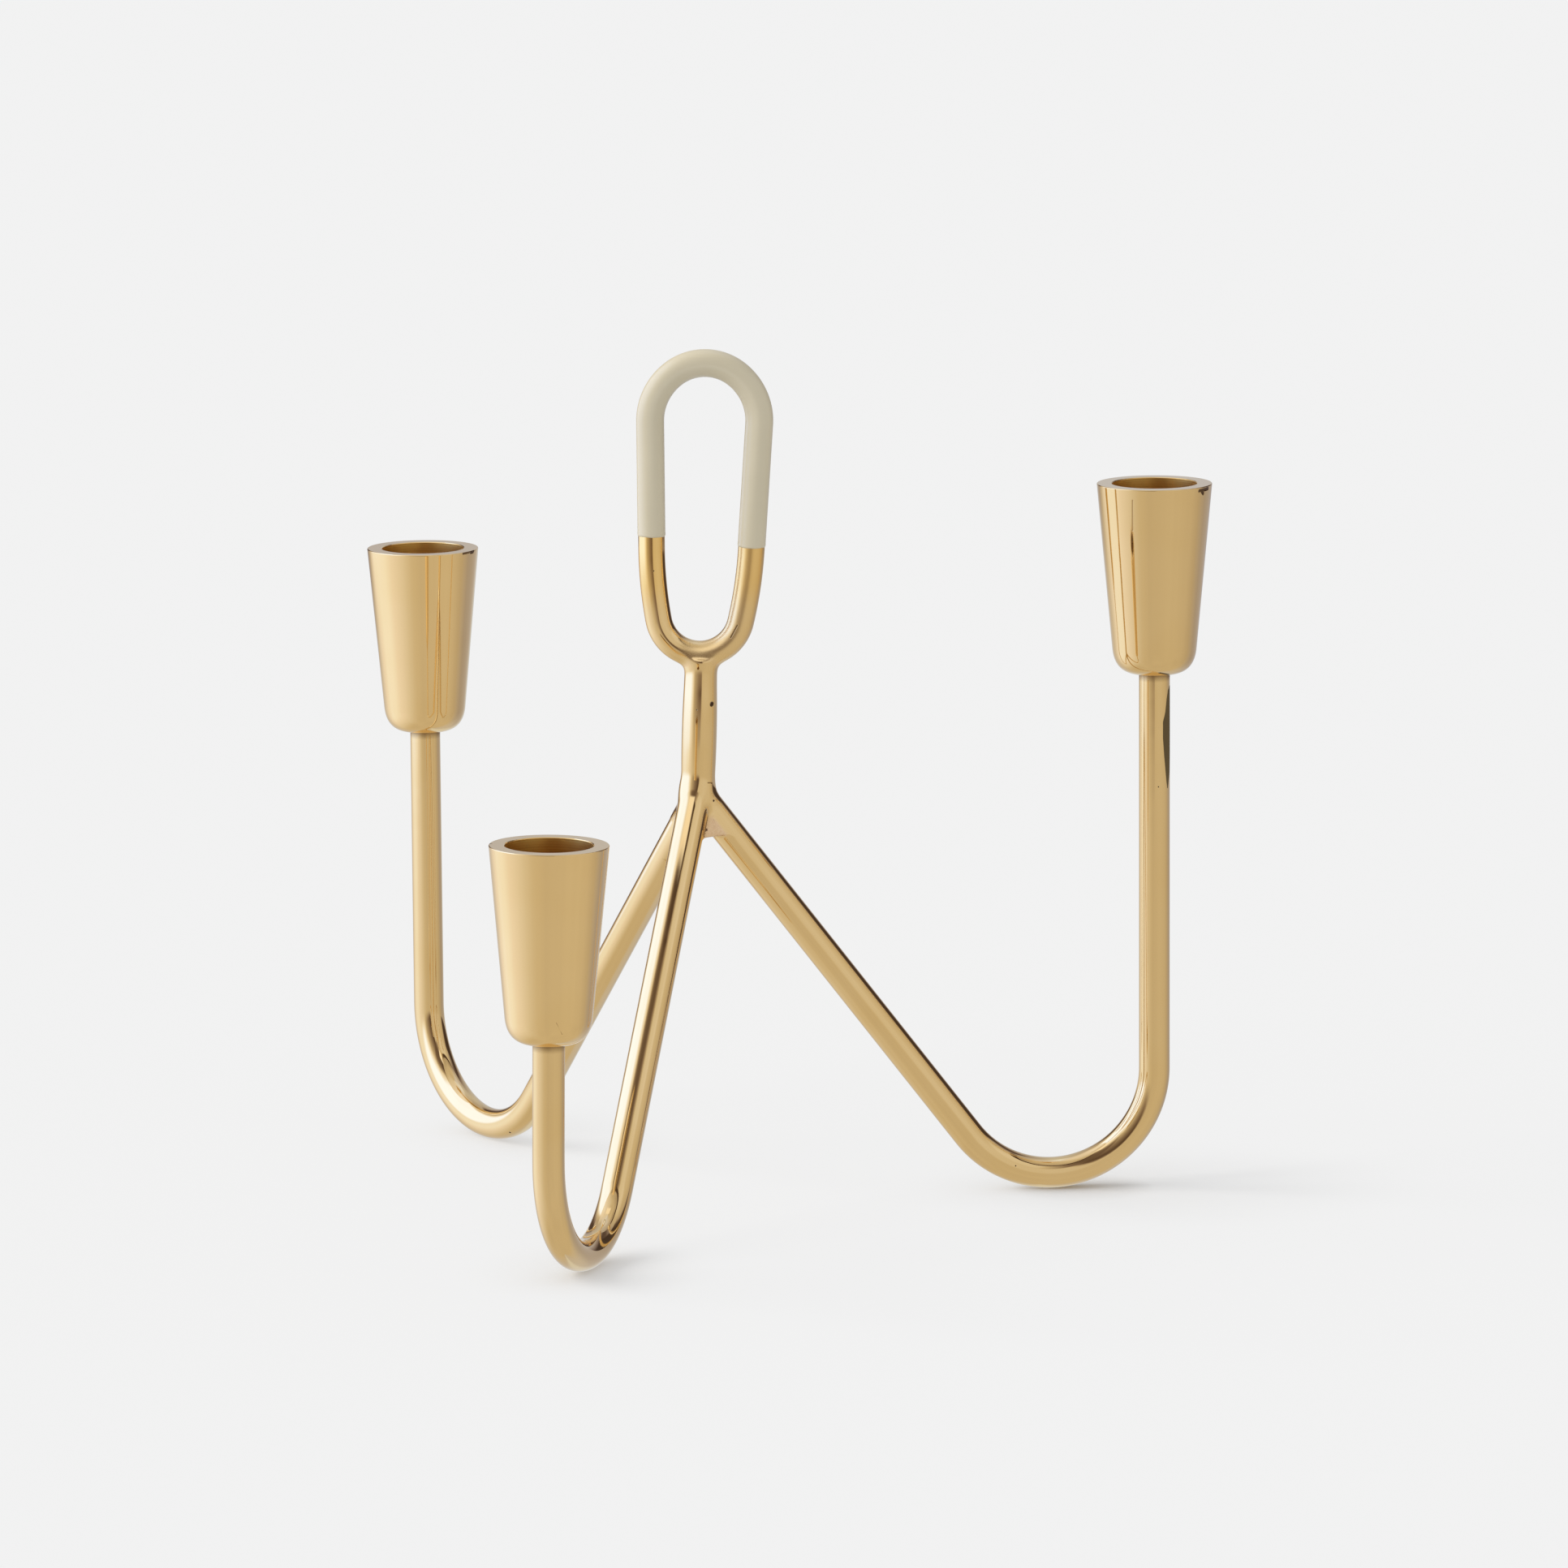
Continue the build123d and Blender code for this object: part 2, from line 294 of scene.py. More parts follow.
def surface_nets(f, lo, hi, h):
    """Quads on f = 0 inside the box, with the vertices moved onto the surface."""
    lo = np.asarray(lo, float)
    n = np.ceil((np.asarray(hi) - lo) / h).astype(int) + 1
    ax = [lo[i] + h * np.arange(n[i]) for i in range(3)]
    G = np.stack(np.meshgrid(*ax, indexing="ij"), -1)
    F = np.empty(n)
    for i in range(n[0]):
        F[i] = f(G[i].reshape(-1, 3)).reshape(n[1], n[2])
    F = np.where(F == 0, 1e-9, F)
    cs = tuple(n - 1)
    acc = np.zeros(cs + (3,)); cnt = np.zeros(cs)
    off = [(i, j, k) for i in (0, 1) for j in (0, 1) for k in (0, 1)]

    def sub(o):
        return F[o[0]:o[0] + cs[0], o[1]:o[1] + cs[1], o[2]:o[2] + cs[2]]

    for a in off:
        for b in off:
            if sum(b) != sum(a) + 1 or any(b[i] < a[i] for i in range(3)):
                continue
            fa, fb = sub(a), sub(b)
            m = (fa < 0) != (fb < 0)
            t = np.where(m, fa / np.where(m, fa - fb, 1), 0)
            for i in range(3):
                acc[..., i] += np.where(m, a[i] + (b[i] - a[i]) * t, 0)
            cnt += m
    live = cnt > 0
    ids = -np.ones(cs, int)
    ids[live] = np.arange(live.sum())
    cells = np.argwhere(live)
    V = lo + h * (cells + acc[live] / cnt[live][:, None])
    faces = []
    for axis in range(3):
        o = [0, 0, 0]; o[axis] = 1
        s0 = [slice(0, F.shape[i] - o[i]) for i in range(3)]
        s1 = [slice(o[i], F.shape[i]) for i in range(3)]
        a, b = F[tuple(s0)], F[tuple(s1)]
        ch = np.argwhere((a < 0) != (b < 0))
        i1, i2 = (axis + 1) % 3, (axis + 2) % 3
        ok = (ch[:, i1] > 0) & (ch[:, i2] > 0) & (ch[:, i1] < cs[i1]) & (ch[:, i2] < cs[i2])
        ch = ch[ok]
        neg = a[tuple(ch.T)] < 0
        e1 = np.eye(3, dtype=int)[i1]; e2 = np.eye(3, dtype=int)[i2]
        q = [ids[tuple((ch - d).T)] for d in (e1 + e2, e2, 0 * e1, e1)]
        Q = np.stack(q, 1)
        Q[~neg] = Q[~neg][:, ::-1]
        faces.append(Q[(Q >= 0).all(1)])
    faces = np.concatenate(faces)
    for it in range(5):
        d = f(V); g = gradient(f, V)
        g2 = np.maximum((g * g).sum(1), 0.2)
        V = V - np.clip(d / g2, -0.25 * h * 2, 0.25 * h * 2)[:, None] * g
        if it < 3:   # even out the quads along the surface
            nb = np.zeros_like(V); c = np.zeros(len(V))
            for k in range(4):
                a_, b_ = faces[:, k], faces[:, (k + 1) % 4]
                np.add.at(nb, a_, V[b_]); np.add.at(c, a_, 1)
                np.add.at(nb, b_, V[a_]); np.add.at(c, b_, 1)
            full = c > 0
            step = np.zeros_like(V)
            step[full] = nb[full] / c[full][:, None] - V[full]
            gn = g / np.sqrt(np.maximum((g * g).sum(1), 1e-9))[:, None]
            step -= gn * (step * gn).sum(1)[:, None]
            V = V + 0.5 * step
    for _ in range(3):
        d = f(V); g = gradient(f, V)
        g2 = np.maximum((g * g).sum(1), 0.2)
        V = V - np.clip(d / g2, -h, h)[:, None] * g
    return V, faces


def implicit_piece(name, f, lo, hi, h, cuts, mat, attrs=None):
    """A closed piece of f < 0, cut by planes (point, outward normal), in mm in the row frame."""
    V, Fq = surface_nets(f, lo, hi, h)
    bm = bmesh.new()
    vs = [bm.verts.new(v) for v in V]
    for q in Fq:
        try:
            bm.faces.new([vs[i] for i in q])
        except ValueError:
            pass
    bm.normal_update()
    for co, no in cuts:
        bmesh.ops.bisect_plane(bm, geom=bm.verts[:] + bm.edges[:] + bm.faces[:], dist=1e-5, plane_co=Vector(co), plane_no=Vector(no), clear_outer=True)
    loose = [v for v in bm.verts if not v.link_faces]
    bmesh.ops.delete(bm, geom=loose, context="VERTS")
    bmesh.ops.remove_doubles(bm, verts=bm.verts[:], dist=1e-4)
    # keep the largest island
    bm.verts.ensure_lookup_table()
    seen = set(); best = []
    for v in bm.verts:
        if v.index in seen:
            continue
        stack = [v]; seen.add(v.index); isl = [v]
        while stack:
            w = stack.pop()
            for e in w.link_edges:
                o = e.other_vert(w)
                if o.index not in seen:
                    seen.add(o.index); stack.append(o); isl.append(o)
        if len(isl) > len(best):
            best = isl
    keep = set(best)
    bmesh.ops.delete(bm, geom=[v for v in bm.verts if v not in keep], context="VERTS")
    # put the cut rims exactly on the surface and the plane, then cap them
    bm.verts.ensure_lookup_table()
    rim = [v for v in bm.verts if v.is_boundary]
    for v in rim:
        p = np.array(v.co)
        cut = min(cuts, key=lambda c: abs(np.dot(p - np.asarray(c[0]), unit(c[1]))))
        no = unit(cut[1])
        for _ in range(4):
            d = f(p[None])[0]; g = gradient(f, p[None])[0]
            g = g - no * np.dot(g, no)
            p = p - d * g / max(np.dot(g, g), 0.2)
        v.co = Vector(p)
    nf0 = len(bm.faces)
    edges = [e for e in bm.edges if e.is_boundary]
    bmesh.ops.holes_fill(bm, edges=edges, sides=0)
    caps = [fc for fc in bm.faces if len(fc.verts) > 6]
    bmesh.ops.recalc_face_normals(bm, faces=bm.faces[:])
    me = bpy.data.meshes.new(name)
    P = np.array([v.co[:] for v in bm.verts])
    g = gradient(f, P)
    N = g / np.linalg.norm(g, axis=1)[:, None]
    extra = {k: fn(P) for k, fn in (attrs or {}).items()}
    for v in bm.verts:
        v.co = v.co * MM
    bm.to_mesh(me)
    openn = sum(1 for e in bm.edges if not e.is_manifold)
    print(name, "verts", len(me.vertices), "faces", len(me.polygons), "open or shared edges", openn, "caps", len(caps))
    bm.free()
    me.polygons.foreach_set("use_smooth", np.ones(len(me.polygons), bool))
    for key, val in extra.items():
        at = me.attributes.new(key, "FLOAT", "POINT")
        at.data.foreach_set("value", np.asarray(val, np.float32))
    me.normals_split_custom_set_from_vertices(N.tolist())
    ob = bpy.data.objects.new(name, me)
    bpy.context.scene.collection.objects.link(ob)
    me.materials.append(mat)
    return ob


# ------------------------------------------------------------------ where the rods run
def arm_data(name):
    """The arm's line from the stem axis down to the bend, the bend, and the upright, in mm."""
    az, ru, rb, zh, ztop, lean = ARMS[name]
    a = math.radians(az)
    out = np.array([math.cos(a), math.sin(a), 0.0])
    zc = rb + ROD_R
    cx = ru - rb
    base = math.atan2(zc - zh, cx)
    length = math.hypot(cx, zc - zh)
    ang = base - math.asin(rb / length)
    lt = math.sqrt(length ** 2 - rb ** 2)
    origin = AXIS + np.array([0, 0, zh])
    d = out * math.cos(ang) + np.array([0, 0, math.sin(ang)])
    t = origin + d * lt
    centre = AXIS + out * cx + np.array([0, 0, zc])
    a0 = math.atan2(t[2] - zc, (t - centre) @ out)
    u = AXIS + out * ru + np.array([0, 0, zc])
    l = math.radians(lean)
    up = np.array([math.sin(l), 0, math.cos(l)])
    segs_mid = [arc_seg(centre, t, d, -a0)]
    u2 = u
    if l:
        u2 = u + np.array([LEAN_R * (1 - math.cos(l)), 0, LEAN_R * math.sin(l)])
        segs_mid.append(arc_seg(u + np.array([LEAN_R, 0, 0]), u, (0, 0, 1), l))
    rim = u2 + up * ((ztop - u2[2]) / up[2])
    seat = rim - up * CUP_H
    return dict(origin=origin, d=d, t=t, lt=lt, side=np.cross(out, [0, 0, 1.0]), segs_mid=segs_mid, u2=u2, up=up, seat=seat)


ARM = {n: arm_data(n) for n in ARMS}

STEM_L = math.radians(1.95)
STEM_D = np.array([math.sin(STEM_L), 0, math.cos(STEM_L)])
STEM_O = AXIS + np.array([0.24, 0, 110.0])
STEM_TOP = 34.7        # the rod's end, let into the underside of the ring


def circle3(p1, p2, p3):
    (x1, y1), (x2, y2), (x3, y3) = p1, p2, p3
    A = np.array([[x2 - x1, y2 - y1], [x3 - x1, y3 - y1]])
    b = np.array([(x2 ** 2 - x1 ** 2 + y2 ** 2 - y1 ** 2) / 2, (x3 ** 2 - x1 ** 2 + y3 ** 2 - y1 ** 2) / 2])
    c = np.linalg.solve(A, b)
    return c, math.hypot(x1 - c[0], y1 - c[1])


BELLY_C, BELLY_R = circle3((4.34, 0.0), (4.63, 14.5), (4.30, 29.0))


def stem_r(s):
    """A slight belly, carried on into the neck with the slope dying away."""
    a = np.clip(s, 0.0, 26.0)
    r = BELLY_C[0] + np.sqrt(BELLY_R ** 2 - (a - BELLY_C[1]) ** 2)
    g = -(26.0 - BELLY_C[1]) / math.sqrt(BELLY_R ** 2 - (26.0 - BELLY_C[1]) ** 2)
    over = np.maximum(s - 26.0, 0.0)
    return r + g * 5.0 * (1 - np.exp(-over / 5.0))


RING_L = math.radians(1.92)
RING_M = np.array([[math.cos(RING_L), 0, math.sin(RING_L)], [0, 1, 0], [-math.sin(RING_L), 0, math.cos(RING_L)]])
RING_O = AXIS + np.array([0.79, 0, 146.0])


def ring_world(p):
    return RING_O + (np.asarray(p, float) - np.array([0, 0, 146.0])) @ RING_M.T


def ring_local(p):
    return (np.asarray(p, float) - RING_O) @ RING_M + np.array([0, 0, 146.0])


BE = math.radians(2.07)


def arc_2d(p, h, r, turn):
    c = (p[0] - r * math.sin(h), p[1] - r * math.cos(h))
    end = (c[0] + r * math.sin(h + turn), c[1] + r * math.cos(h + turn))
    seg = arc_seg((c[0], 0, c[1]), (p[0], 0, p[1]), (math.cos(h), 0, -math.sin(h)), turn)
    return seg, end, h + turn


S_CROWN, P_CROWN, _h = arc_2d((0.0, 222.95), 0.0, 13.4, math.radians(37.2))
S_TOP, P_TOP, _h = arc_2d(P_CROWN, _h, 15.63, math.pi / 2 + BE - _h)
P_LEG = (P_TOP[0] - 33.5 * math.sin(BE), P_TOP[1] - 33.5 * math.cos(BE))
S_SIDE, P_SIDE, _h = arc_2d(P_LEG, _h, 112.9, math.radians(9.7))
FOOT_R = P_SIDE[0] / math.sin(_h)
S_FOOT, P_FOOT, _ = arc_2d(P_SIDE, _h, FOOT_R, math.pi - _h - FOOT_CUT_A)
FOOT_C = np.array([0.0, 0.0, P_SIDE[1] - FOOT_R * math.cos(_h)])


def ring_half(end_z=None):
    """Half of the ring from the crown down the +X leg, in the ring's own frame."""
    segs = [S_CROWN, S_TOP]
    if end_z is None:
        segs += [line_seg((P_TOP[0], 0, P_TOP[1]), (P_LEG[0], 0, P_LEG[1])), S_SIDE, S_FOOT]
    else:
        segs += [line_seg((P_TOP[0], 0, P_TOP[1]), (P_TOP[0] - (P_TOP[1] - end_z) * math.tan(BE), 0, end_z))]
    return sample(segs, 1.5, 0.45)


def ring_path(left_z=None, right_z=None):
    PR, TR, SR = ring_half(right_z)
    PL, TL, SL = ring_half(left_z)
    flip = np.array([-1, 1, 1])
    PL = (PL * flip)[::-1][:-1]; TL = -(TL * flip)[::-1][:-1]; SL = -SL[::-1][:-1]
    P = np.concatenate([PL, PR]); T = np.concatenate([TL, TR]); S = np.concatenate([SL, SR])
    return ring_world(P), T @ RING_M.T, S - S[0]


# ------------------------------------------------------------------ the two fused joints
def f_stem(p):
    q = p - STEM_O
    s = q @ STEM_D
    sc = np.clip(s, -6.0, 60.0)
    rad = np.linalg.norm(q - sc[..., None] * STEM_D, axis=-1)
    return smax(rad - stem_r(sc), s - STEM_TOP, 1.1)


def f_rod(name):
    o, d = ARM[name]["origin"], ARM[name]["d"]

    def f(p):
        q = p - o
        s = np.clip(q @ d, 0.0, 60.0)
        return np.linalg.norm(q - s[..., None] * d, axis=-1) - ROD_R
    return f


F_ROD = {n: f_rod(n) for n in ARMS}


def f_web(a, b, half, low):
    """Braze web that fills the crotch between two arms, flat underneath."""
    oa, ob = ARM[a]["origin"], ARM[b]["origin"]
    o = (oa + ob) / 2
    da, db = ARM[a]["d"], ARM[b]["d"]
    n = unit(np.cross(da, db))
    ma = unit(np.cross(n, da)); mb = unit(np.cross(db, n))

    def f(p):
        q = p - o
        s = np.abs(q @ n) - half
        e = smax(s, low - p[..., 2], 0.9)
        return smax(smax(e, -(q @ ma) + 0.5, 0.3), -(q @ mb) + 0.5, 0.3)
    return f


W_FR = f_web("low", "high", 2.75, 98.2)
W_RM = f_web("high", "mid", 2.6, 99.4)
W_ML = f_web("mid", "low", 3.0, 102.3)


def hub_rods(p):
    f = smin(f_stem(p), F_ROD["low"](p), 3.0)
    f = smin(f, F_ROD["high"](p), 2.2)
    return smin(f, F_ROD["mid"](p), 2.4)


def f_hub(p):
    f = hub_rods(p)
    f = smin(f, W_FR(p), 1.2)
    f = smin(f, W_RM(p), 2.2)
    return smin(f, W_ML(p), 1.8)


def f_torus(p):
    q = ring_local(p) - FOOT_C
    return np.hypot(np.hypot(q[..., 0], q[..., 2]) - FOOT_R, q[..., 1]) - RING_R


def f_foot(p):
    return smin(f_stem(p), f_torus(p), 3.2)


# ------------------------------------------------------------------ materials
def new_mat(name):
    m = bpy.data.materials.new(name)
    m.use_nodes = True
    nt = m.node_tree
    nt.nodes.clear()
    out = nt.nodes.new("ShaderNodeOutputMaterial")
    bs = nt.nodes.new("ShaderNodeBsdfPrincipled")
    nt.links.new(bs.outputs[0], out.inputs[0])
    return m, nt, bs


class G:
    """Short hand for building node trees."""

    def __init__(self, nt):
        self.nt = nt

    def n(self, kind, **kw):
        nd = self.nt.nodes.new(kind)
        for k, v in kw.items():
            setattr(nd, k, v)
        return nd

    def put(self, sock, v):
        if hasattr(v, "is_linked") or hasattr(v, "links"):
            self.nt.links.new(v, sock)
        else:
            sock.default_value = v

    def math(self, op, a, b=None, c=None, clamp=False):
        nd = self.n("ShaderNodeMath", operation=op, use_clamp=clamp)
        self.put(nd.inputs[0], a)
        if b is not None:
            self.put(nd.inputs[1], b)
        if c is not None:
            self.put(nd.inputs[2], c)
        return nd.outputs[0]

    def vmath(self, op, a, b=None, scale=None):
        nd = self.n("ShaderNodeVectorMath", operation=op)
        self.put(nd.inputs[0], a)
        if b is not None:
            self.put(nd.inputs[1], b)
        if scale is not None:
            self.put(nd.inputs[3], scale)
        return nd.outputs[1] if op in ("LENGTH", "DISTANCE", "DOT_PRODUCT") else nd.outputs[0]

    def noise(self, vec, scale, detail=3.0, rough=0.5, dist=0.0):
        nd = self.n("ShaderNodeTexNoise")
        self.put(nd.inputs["Vector"], vec)
        nd.inputs["Scale"].default_value = scale
        nd.inputs["Detail"].default_value = detail
        nd.inputs["Roughness"].default_value = rough
        nd.inputs["Distortion"].default_value = dist
        return nd.outputs["Fac"]

    def ramp(self, fac, stops, mode="LINEAR"):
        nd = self.n("ShaderNodeValToRGB")
        cr = nd.color_ramp
        cr.interpolation = mode
        while len(cr.elements) < len(stops):
            cr.elements.new(0.5)
        for e, (p, c) in zip(cr.elements, stops):
            e.position = p
            e.color = c if len(c) == 4 else (*c, 1.0)
        self.put(nd.inputs[0], fac)
        return nd.outputs[0]

    def step(self, x, lo, hi, a=0.0, b=1.0):
        nd = self.n("ShaderNodeMapRange", interpolation_type="SMOOTHSTEP")
        self.put(nd.inputs[0], x)
        nd.inputs[1].default_value = lo
        nd.inputs[2].default_value = hi
        nd.inputs[3].default_value = a
        nd.inputs[4].default_value = b
        return nd.outputs[0]

    def mix(self, fac, a, b):
        nd = self.n("ShaderNodeMix", data_type="RGBA")
        self.put(nd.inputs[0], fac)
        self.put(nd.inputs[6], a)
        self.put(nd.inputs[7], b)
        return nd.outputs[2]

    def mapping(self, vec, scale=(1, 1, 1), loc=(0, 0, 0), rot=(0, 0, 0)):
        nd = self.n("ShaderNodeMapping")
        self.put(nd.inputs[0], vec)
        nd.inputs[1].default_value = loc
        nd.inputs[2].default_value = rot
        nd.inputs[3].default_value = scale
        return nd.outputs[0]

    def bump(self, h, strength, dist, prev=None):
        nd = self.n("ShaderNodeBump")
        nd.inputs["Strength"].default_value = strength
        nd.inputs["Distance"].default_value = dist
        self.put(nd.inputs["Height"], h)
        if prev is not None:
            self.put(nd.inputs["Normal"], prev)
        return nd.outputs[0]

    def spots(self, vec, spots):
        """1 near any of the given points (mm, radius mm), 0 elsewhere."""
        tot = None
        for (x, y, z), r in spots:
            d = self.vmath("DISTANCE", vec, (x * MM, y * MM, z * MM))
            s = self.step(d, r * MM * 0.45, r * MM, 1.0, 0.0)
            tot = s if tot is None else self.math("MAXIMUM", tot, s)
        return tot

    def marks(self, vec, marks):
        """1 along short straight scratches, given by their ends and half width in mm."""
        tot = None
        for a, b, r in marks:
            a = np.array(a, float) * MM
            ab = np.array(b, float) * MM - a
            q = self.vmath("SUBTRACT", vec, tuple(a))
            t = self.math("MULTIPLY", self.vmath("DOT_PRODUCT", q, tuple(ab)), 1.0 / float(ab @ ab), clamp=True)
            near = self.n("ShaderNodeVectorMath", operation="SCALE")
            near.inputs[0].default_value = tuple(ab)
            self.put(near.inputs[3], t)
            d = self.vmath("DISTANCE", q, near.outputs[0])
            s = self.step(d, r * MM * 0.4, r * MM, 1.0, 0.0)
            tot = s if tot is None else self.math("MAXIMUM", tot, s)
        return tot


def rgb(r, g, b):
    return (r, g, b, 1.0)


def brass(name, base, deep, rough=0.055, along="UV", braze=False, pits=(), lines=(), fade=None, dark_streaks=(), haze=0.0, seam=False, scratch=0.12, wavy=0.30):
    """Polished brass: hand-buffed, so faint streaks run along it and the reflection wavers a little."""
    m, nt, bs = new_mat(name)
    g = G(nt)
    tc = g.n("ShaderNodeTexCoord")
    obj = tc.outputs["Object"]
    big = g.noise(obj, 55.0, 2.0, 0.5)
    fine = g.noise(obj, 900.0, 3.0, 0.6)
    if along == "UV":
        streak_v = g.mapping(tc.outputs["UV"], scale=(60.0, 0.35, 1.0))
    else:
        streak_v = g.mapping(obj, scale=(2600.0, 2600.0, 60.0))
    streak = g.noise(streak_v, 1.0, 4.0, 0.6)
    col = g.mix(g.step(big, 0.35, 0.68), base, deep)
    if fade:
        other = g.mix(g.step(big, 0.35, 0.68), fade[0], fade[1])
        col = g.mix(g.n("ShaderNodeAttribute", attribute_name="pale").outputs["Fac"], col, other)
    smudge = g.noise(g.mapping(obj, loc=(3.1, 1.7, 0.4)), 120.0, 4.0, 0.65, 0.6)
    r1 = g.math("MULTIPLY_ADD", g.step(smudge, 0.45, 0.72), rough * 0.55, rough * 0.82)
    r2 = g.math("MULTIPLY_ADD", g.step(streak, 0.5, 0.75), rough * 0.35, r1)
    r3 = g.math("MULTIPLY_ADD", g.math("SUBTRACT", fine, 0.5), rough * 0.3, r2)
    # darker, rougher streaks painted along the given marks; no material here passes any
    if dark_streaks:
        tn = g.marks(obj, dark_streaks)
        tn = g.math("MULTIPLY", tn, g.step(g.noise(obj, 160.0, 2.0, 0.5), 0.10, 0.42))
        col = g.mix(g.math("MULTIPLY", tn, 0.72), col, rgb(0.17, 0.13, 0.058))
        r3 = g.math("MULTIPLY_ADD", tn, 0.10, r3)
    if haze:   # buffed less far
        r3 = g.math("MULTIPLY_ADD", g.n("ShaderNodeAttribute", attribute_name="haze").outputs["Fac"], haze, r3)
    if seam:   # painted shade in the gap where the rod meets the cup: darker and rougher there
        seam_shade = g.n("ShaderNodeAttribute", attribute_name="seam").outputs["Fac"]
        col = g.mix(g.math("MULTIPLY", seam_shade, 0.75), col, rgb(0.25, 0.14, 0.055))
        r3 = g.math("MULTIPLY_ADD", seam_shade, 0.3, r3)
    wave = g.noise(obj, 130.0, 1.0, 0.4)
    nrm = g.bump(wave, wavy, 0.00012)
    nrm = g.bump(streak, scratch, 0.0000035, nrm)
    # dark lines: marks and scratches, and on the hub one line of painted shade in a crease
    if lines:
        ln = g.marks(obj, lines)
        col = g.mix(g.math("MULTIPLY", ln, 0.80), col, rgb(0.22, 0.12, 0.045))
        nrm = g.bump(g.math("MULTIPLY", ln, -1.0), 0.6, 0.00008, nrm)
    # dark spots: pits, and on the ring's joint one spot of painted shade
    if pits:
        sp = g.spots(obj, pits)
        col = g.mix(sp, col, rgb(0.09, 0.05, 0.03))
        r3 = g.math("MULTIPLY_ADD", sp, 0.45, r3)
        nrm = g.bump(g.math("MULTIPLY", sp, -1.0), 0.8, 0.00025, nrm)
    if braze:
        at = g.n("ShaderNodeAttribute", attribute_name="braze").outputs["Fac"]
        grain = g.noise(obj, 1500.0, 4.0, 0.7)
        pores = g.step(g.noise(obj, 620.0, 2.0, 0.5), 0.66, 0.74)
        pores = g.math("MULTIPLY", pores, at)
        bcol = g.mix(g.step(grain, 0.3, 0.7), rgb(0.84, 0.61, 0.40), rgb(0.90, 0.69, 0.47))
        col = g.mix(at, col, bcol)
        col = g.mix(pores, col, rgb(0.22, 0.13, 0.09))
        r3 = g.math("MULTIPLY_ADD", at, 0.17, r3)
        h = g.math("MULTIPLY", g.math("MULTIPLY_ADD", pores, -1.4, grain), at)
        nrm = g.bump(h, 0.45, 0.00010, nrm)
    g.put(bs.inputs["Base Color"], col)
    bs.inputs["Metallic"].default_value = 1.0
    g.put(bs.inputs["Roughness"], r3)
    g.put(bs.inputs["Normal"], nrm)
    return m


def cup_brass(name, base, deep, pits=(), lines=()):
    """Turned and polished brass. Fine rings from the lathe show inside the bore and, very faintly, outside."""
    m, nt, bs = new_mat(name)
    g = G(nt)
    tc = g.n("ShaderNodeTexCoord")
    obj = tc.outputs["Object"]
    sep = g.n("ShaderNodeSeparateXYZ")
    nt.links.new(obj, sep.inputs[0])
    x, y, z = sep.outputs
    rad = g.math("SQRT", g.math("ADD", g.math("MULTIPLY", x, x), g.math("MULTIPLY", y, y)))
    inside = g.math("MULTIPLY", g.step(rad, 0.01128, 0.01122), g.step(z, 0.0250, 0.0258))
    big = g.noise(obj, 45.0, 2.0, 0.5)
    col = g.mix(g.step(big, 0.35, 0.68), base, deep)
    prof = g.math("ADD", z, g.math("MULTIPLY", rad, 0.35))
    cmb = g.n("ShaderNodeCombineXYZ")
    nt.links.new(prof, cmb.inputs[2])
    rings = g.noise(cmb.outputs[0], 5200.0, 2.0, 0.7)
    coarse = g.noise(cmb.outputs[0], 1500.0, 2.0, 0.6)
    # the bore is painted lighter than the outside near the rim, a painted highlight, and darker further down, painted
    # shade
    bore = g.mix(g.step(coarse, 0.40, 0.62), rgb(1.0, 0.73, 0.26), rgb(0.87, 0.56, 0.17))
    bore = g.mix(g.step(z, 0.0478, 0.0505), g.mix(g.step(coarse, 0.40, 0.62), rgb(0.88, 0.59, 0.19), rgb(0.73, 0.44, 0.125)), bore)    # duller further down
    col = g.mix(inside, col, bore)
    smudge = g.noise(g.mapping(obj, loc=(1.3, 0.2, 2.4)), 95.0, 4.0, 0.65, 0.7)
    r1 = g.math("MULTIPLY_ADD", g.step(smudge, 0.45, 0.74), 0.035, 0.042)
    r2 = g.math("MULTIPLY_ADD", rings, 0.02, r1)
    r2 = g.math("MULTIPLY_ADD", inside, 0.30, r2)
    nrm = g.bump(g.noise(obj, 60.0, 1.0, 0.4), 0.20, 0.00010)
    nrm = g.bump(g.math("MULTIPLY", rings, g.math("MULTIPLY_ADD", inside, 3.0, 1.0)), 0.30, 0.0000018, nrm)
    nrm = g.bump(g.math("MULTIPLY", coarse, inside), 0.35, 0.00002, nrm)
    if lines:
        ln = g.marks(obj, lines)
        col = g.mix(g.math("MULTIPLY", ln, 0.5), col, rgb(0.30, 0.17, 0.06))
        nrm = g.bump(g.math("MULTIPLY", ln, -1.0), 0.6, 0.00008, nrm)
    if pits:
        sp = g.marks(obj, pits)
        col = g.mix(g.math("MULTIPLY", sp, 0.94), col, rgb(0.12, 0.06, 0.028))
        r2 = g.math("MULTIPLY_ADD", sp, 0.25, r2)
        nrm = g.bump(g.math("MULTIPLY", sp, -1.0), 0.5, 0.0001, nrm)
    g.put(bs.inputs["Base Color"], col)
    bs.inputs["Metallic"].default_value = 1.0
    g.put(bs.inputs["Roughness"], r2)
    g.put(bs.inputs["Normal"], nrm)
    return m


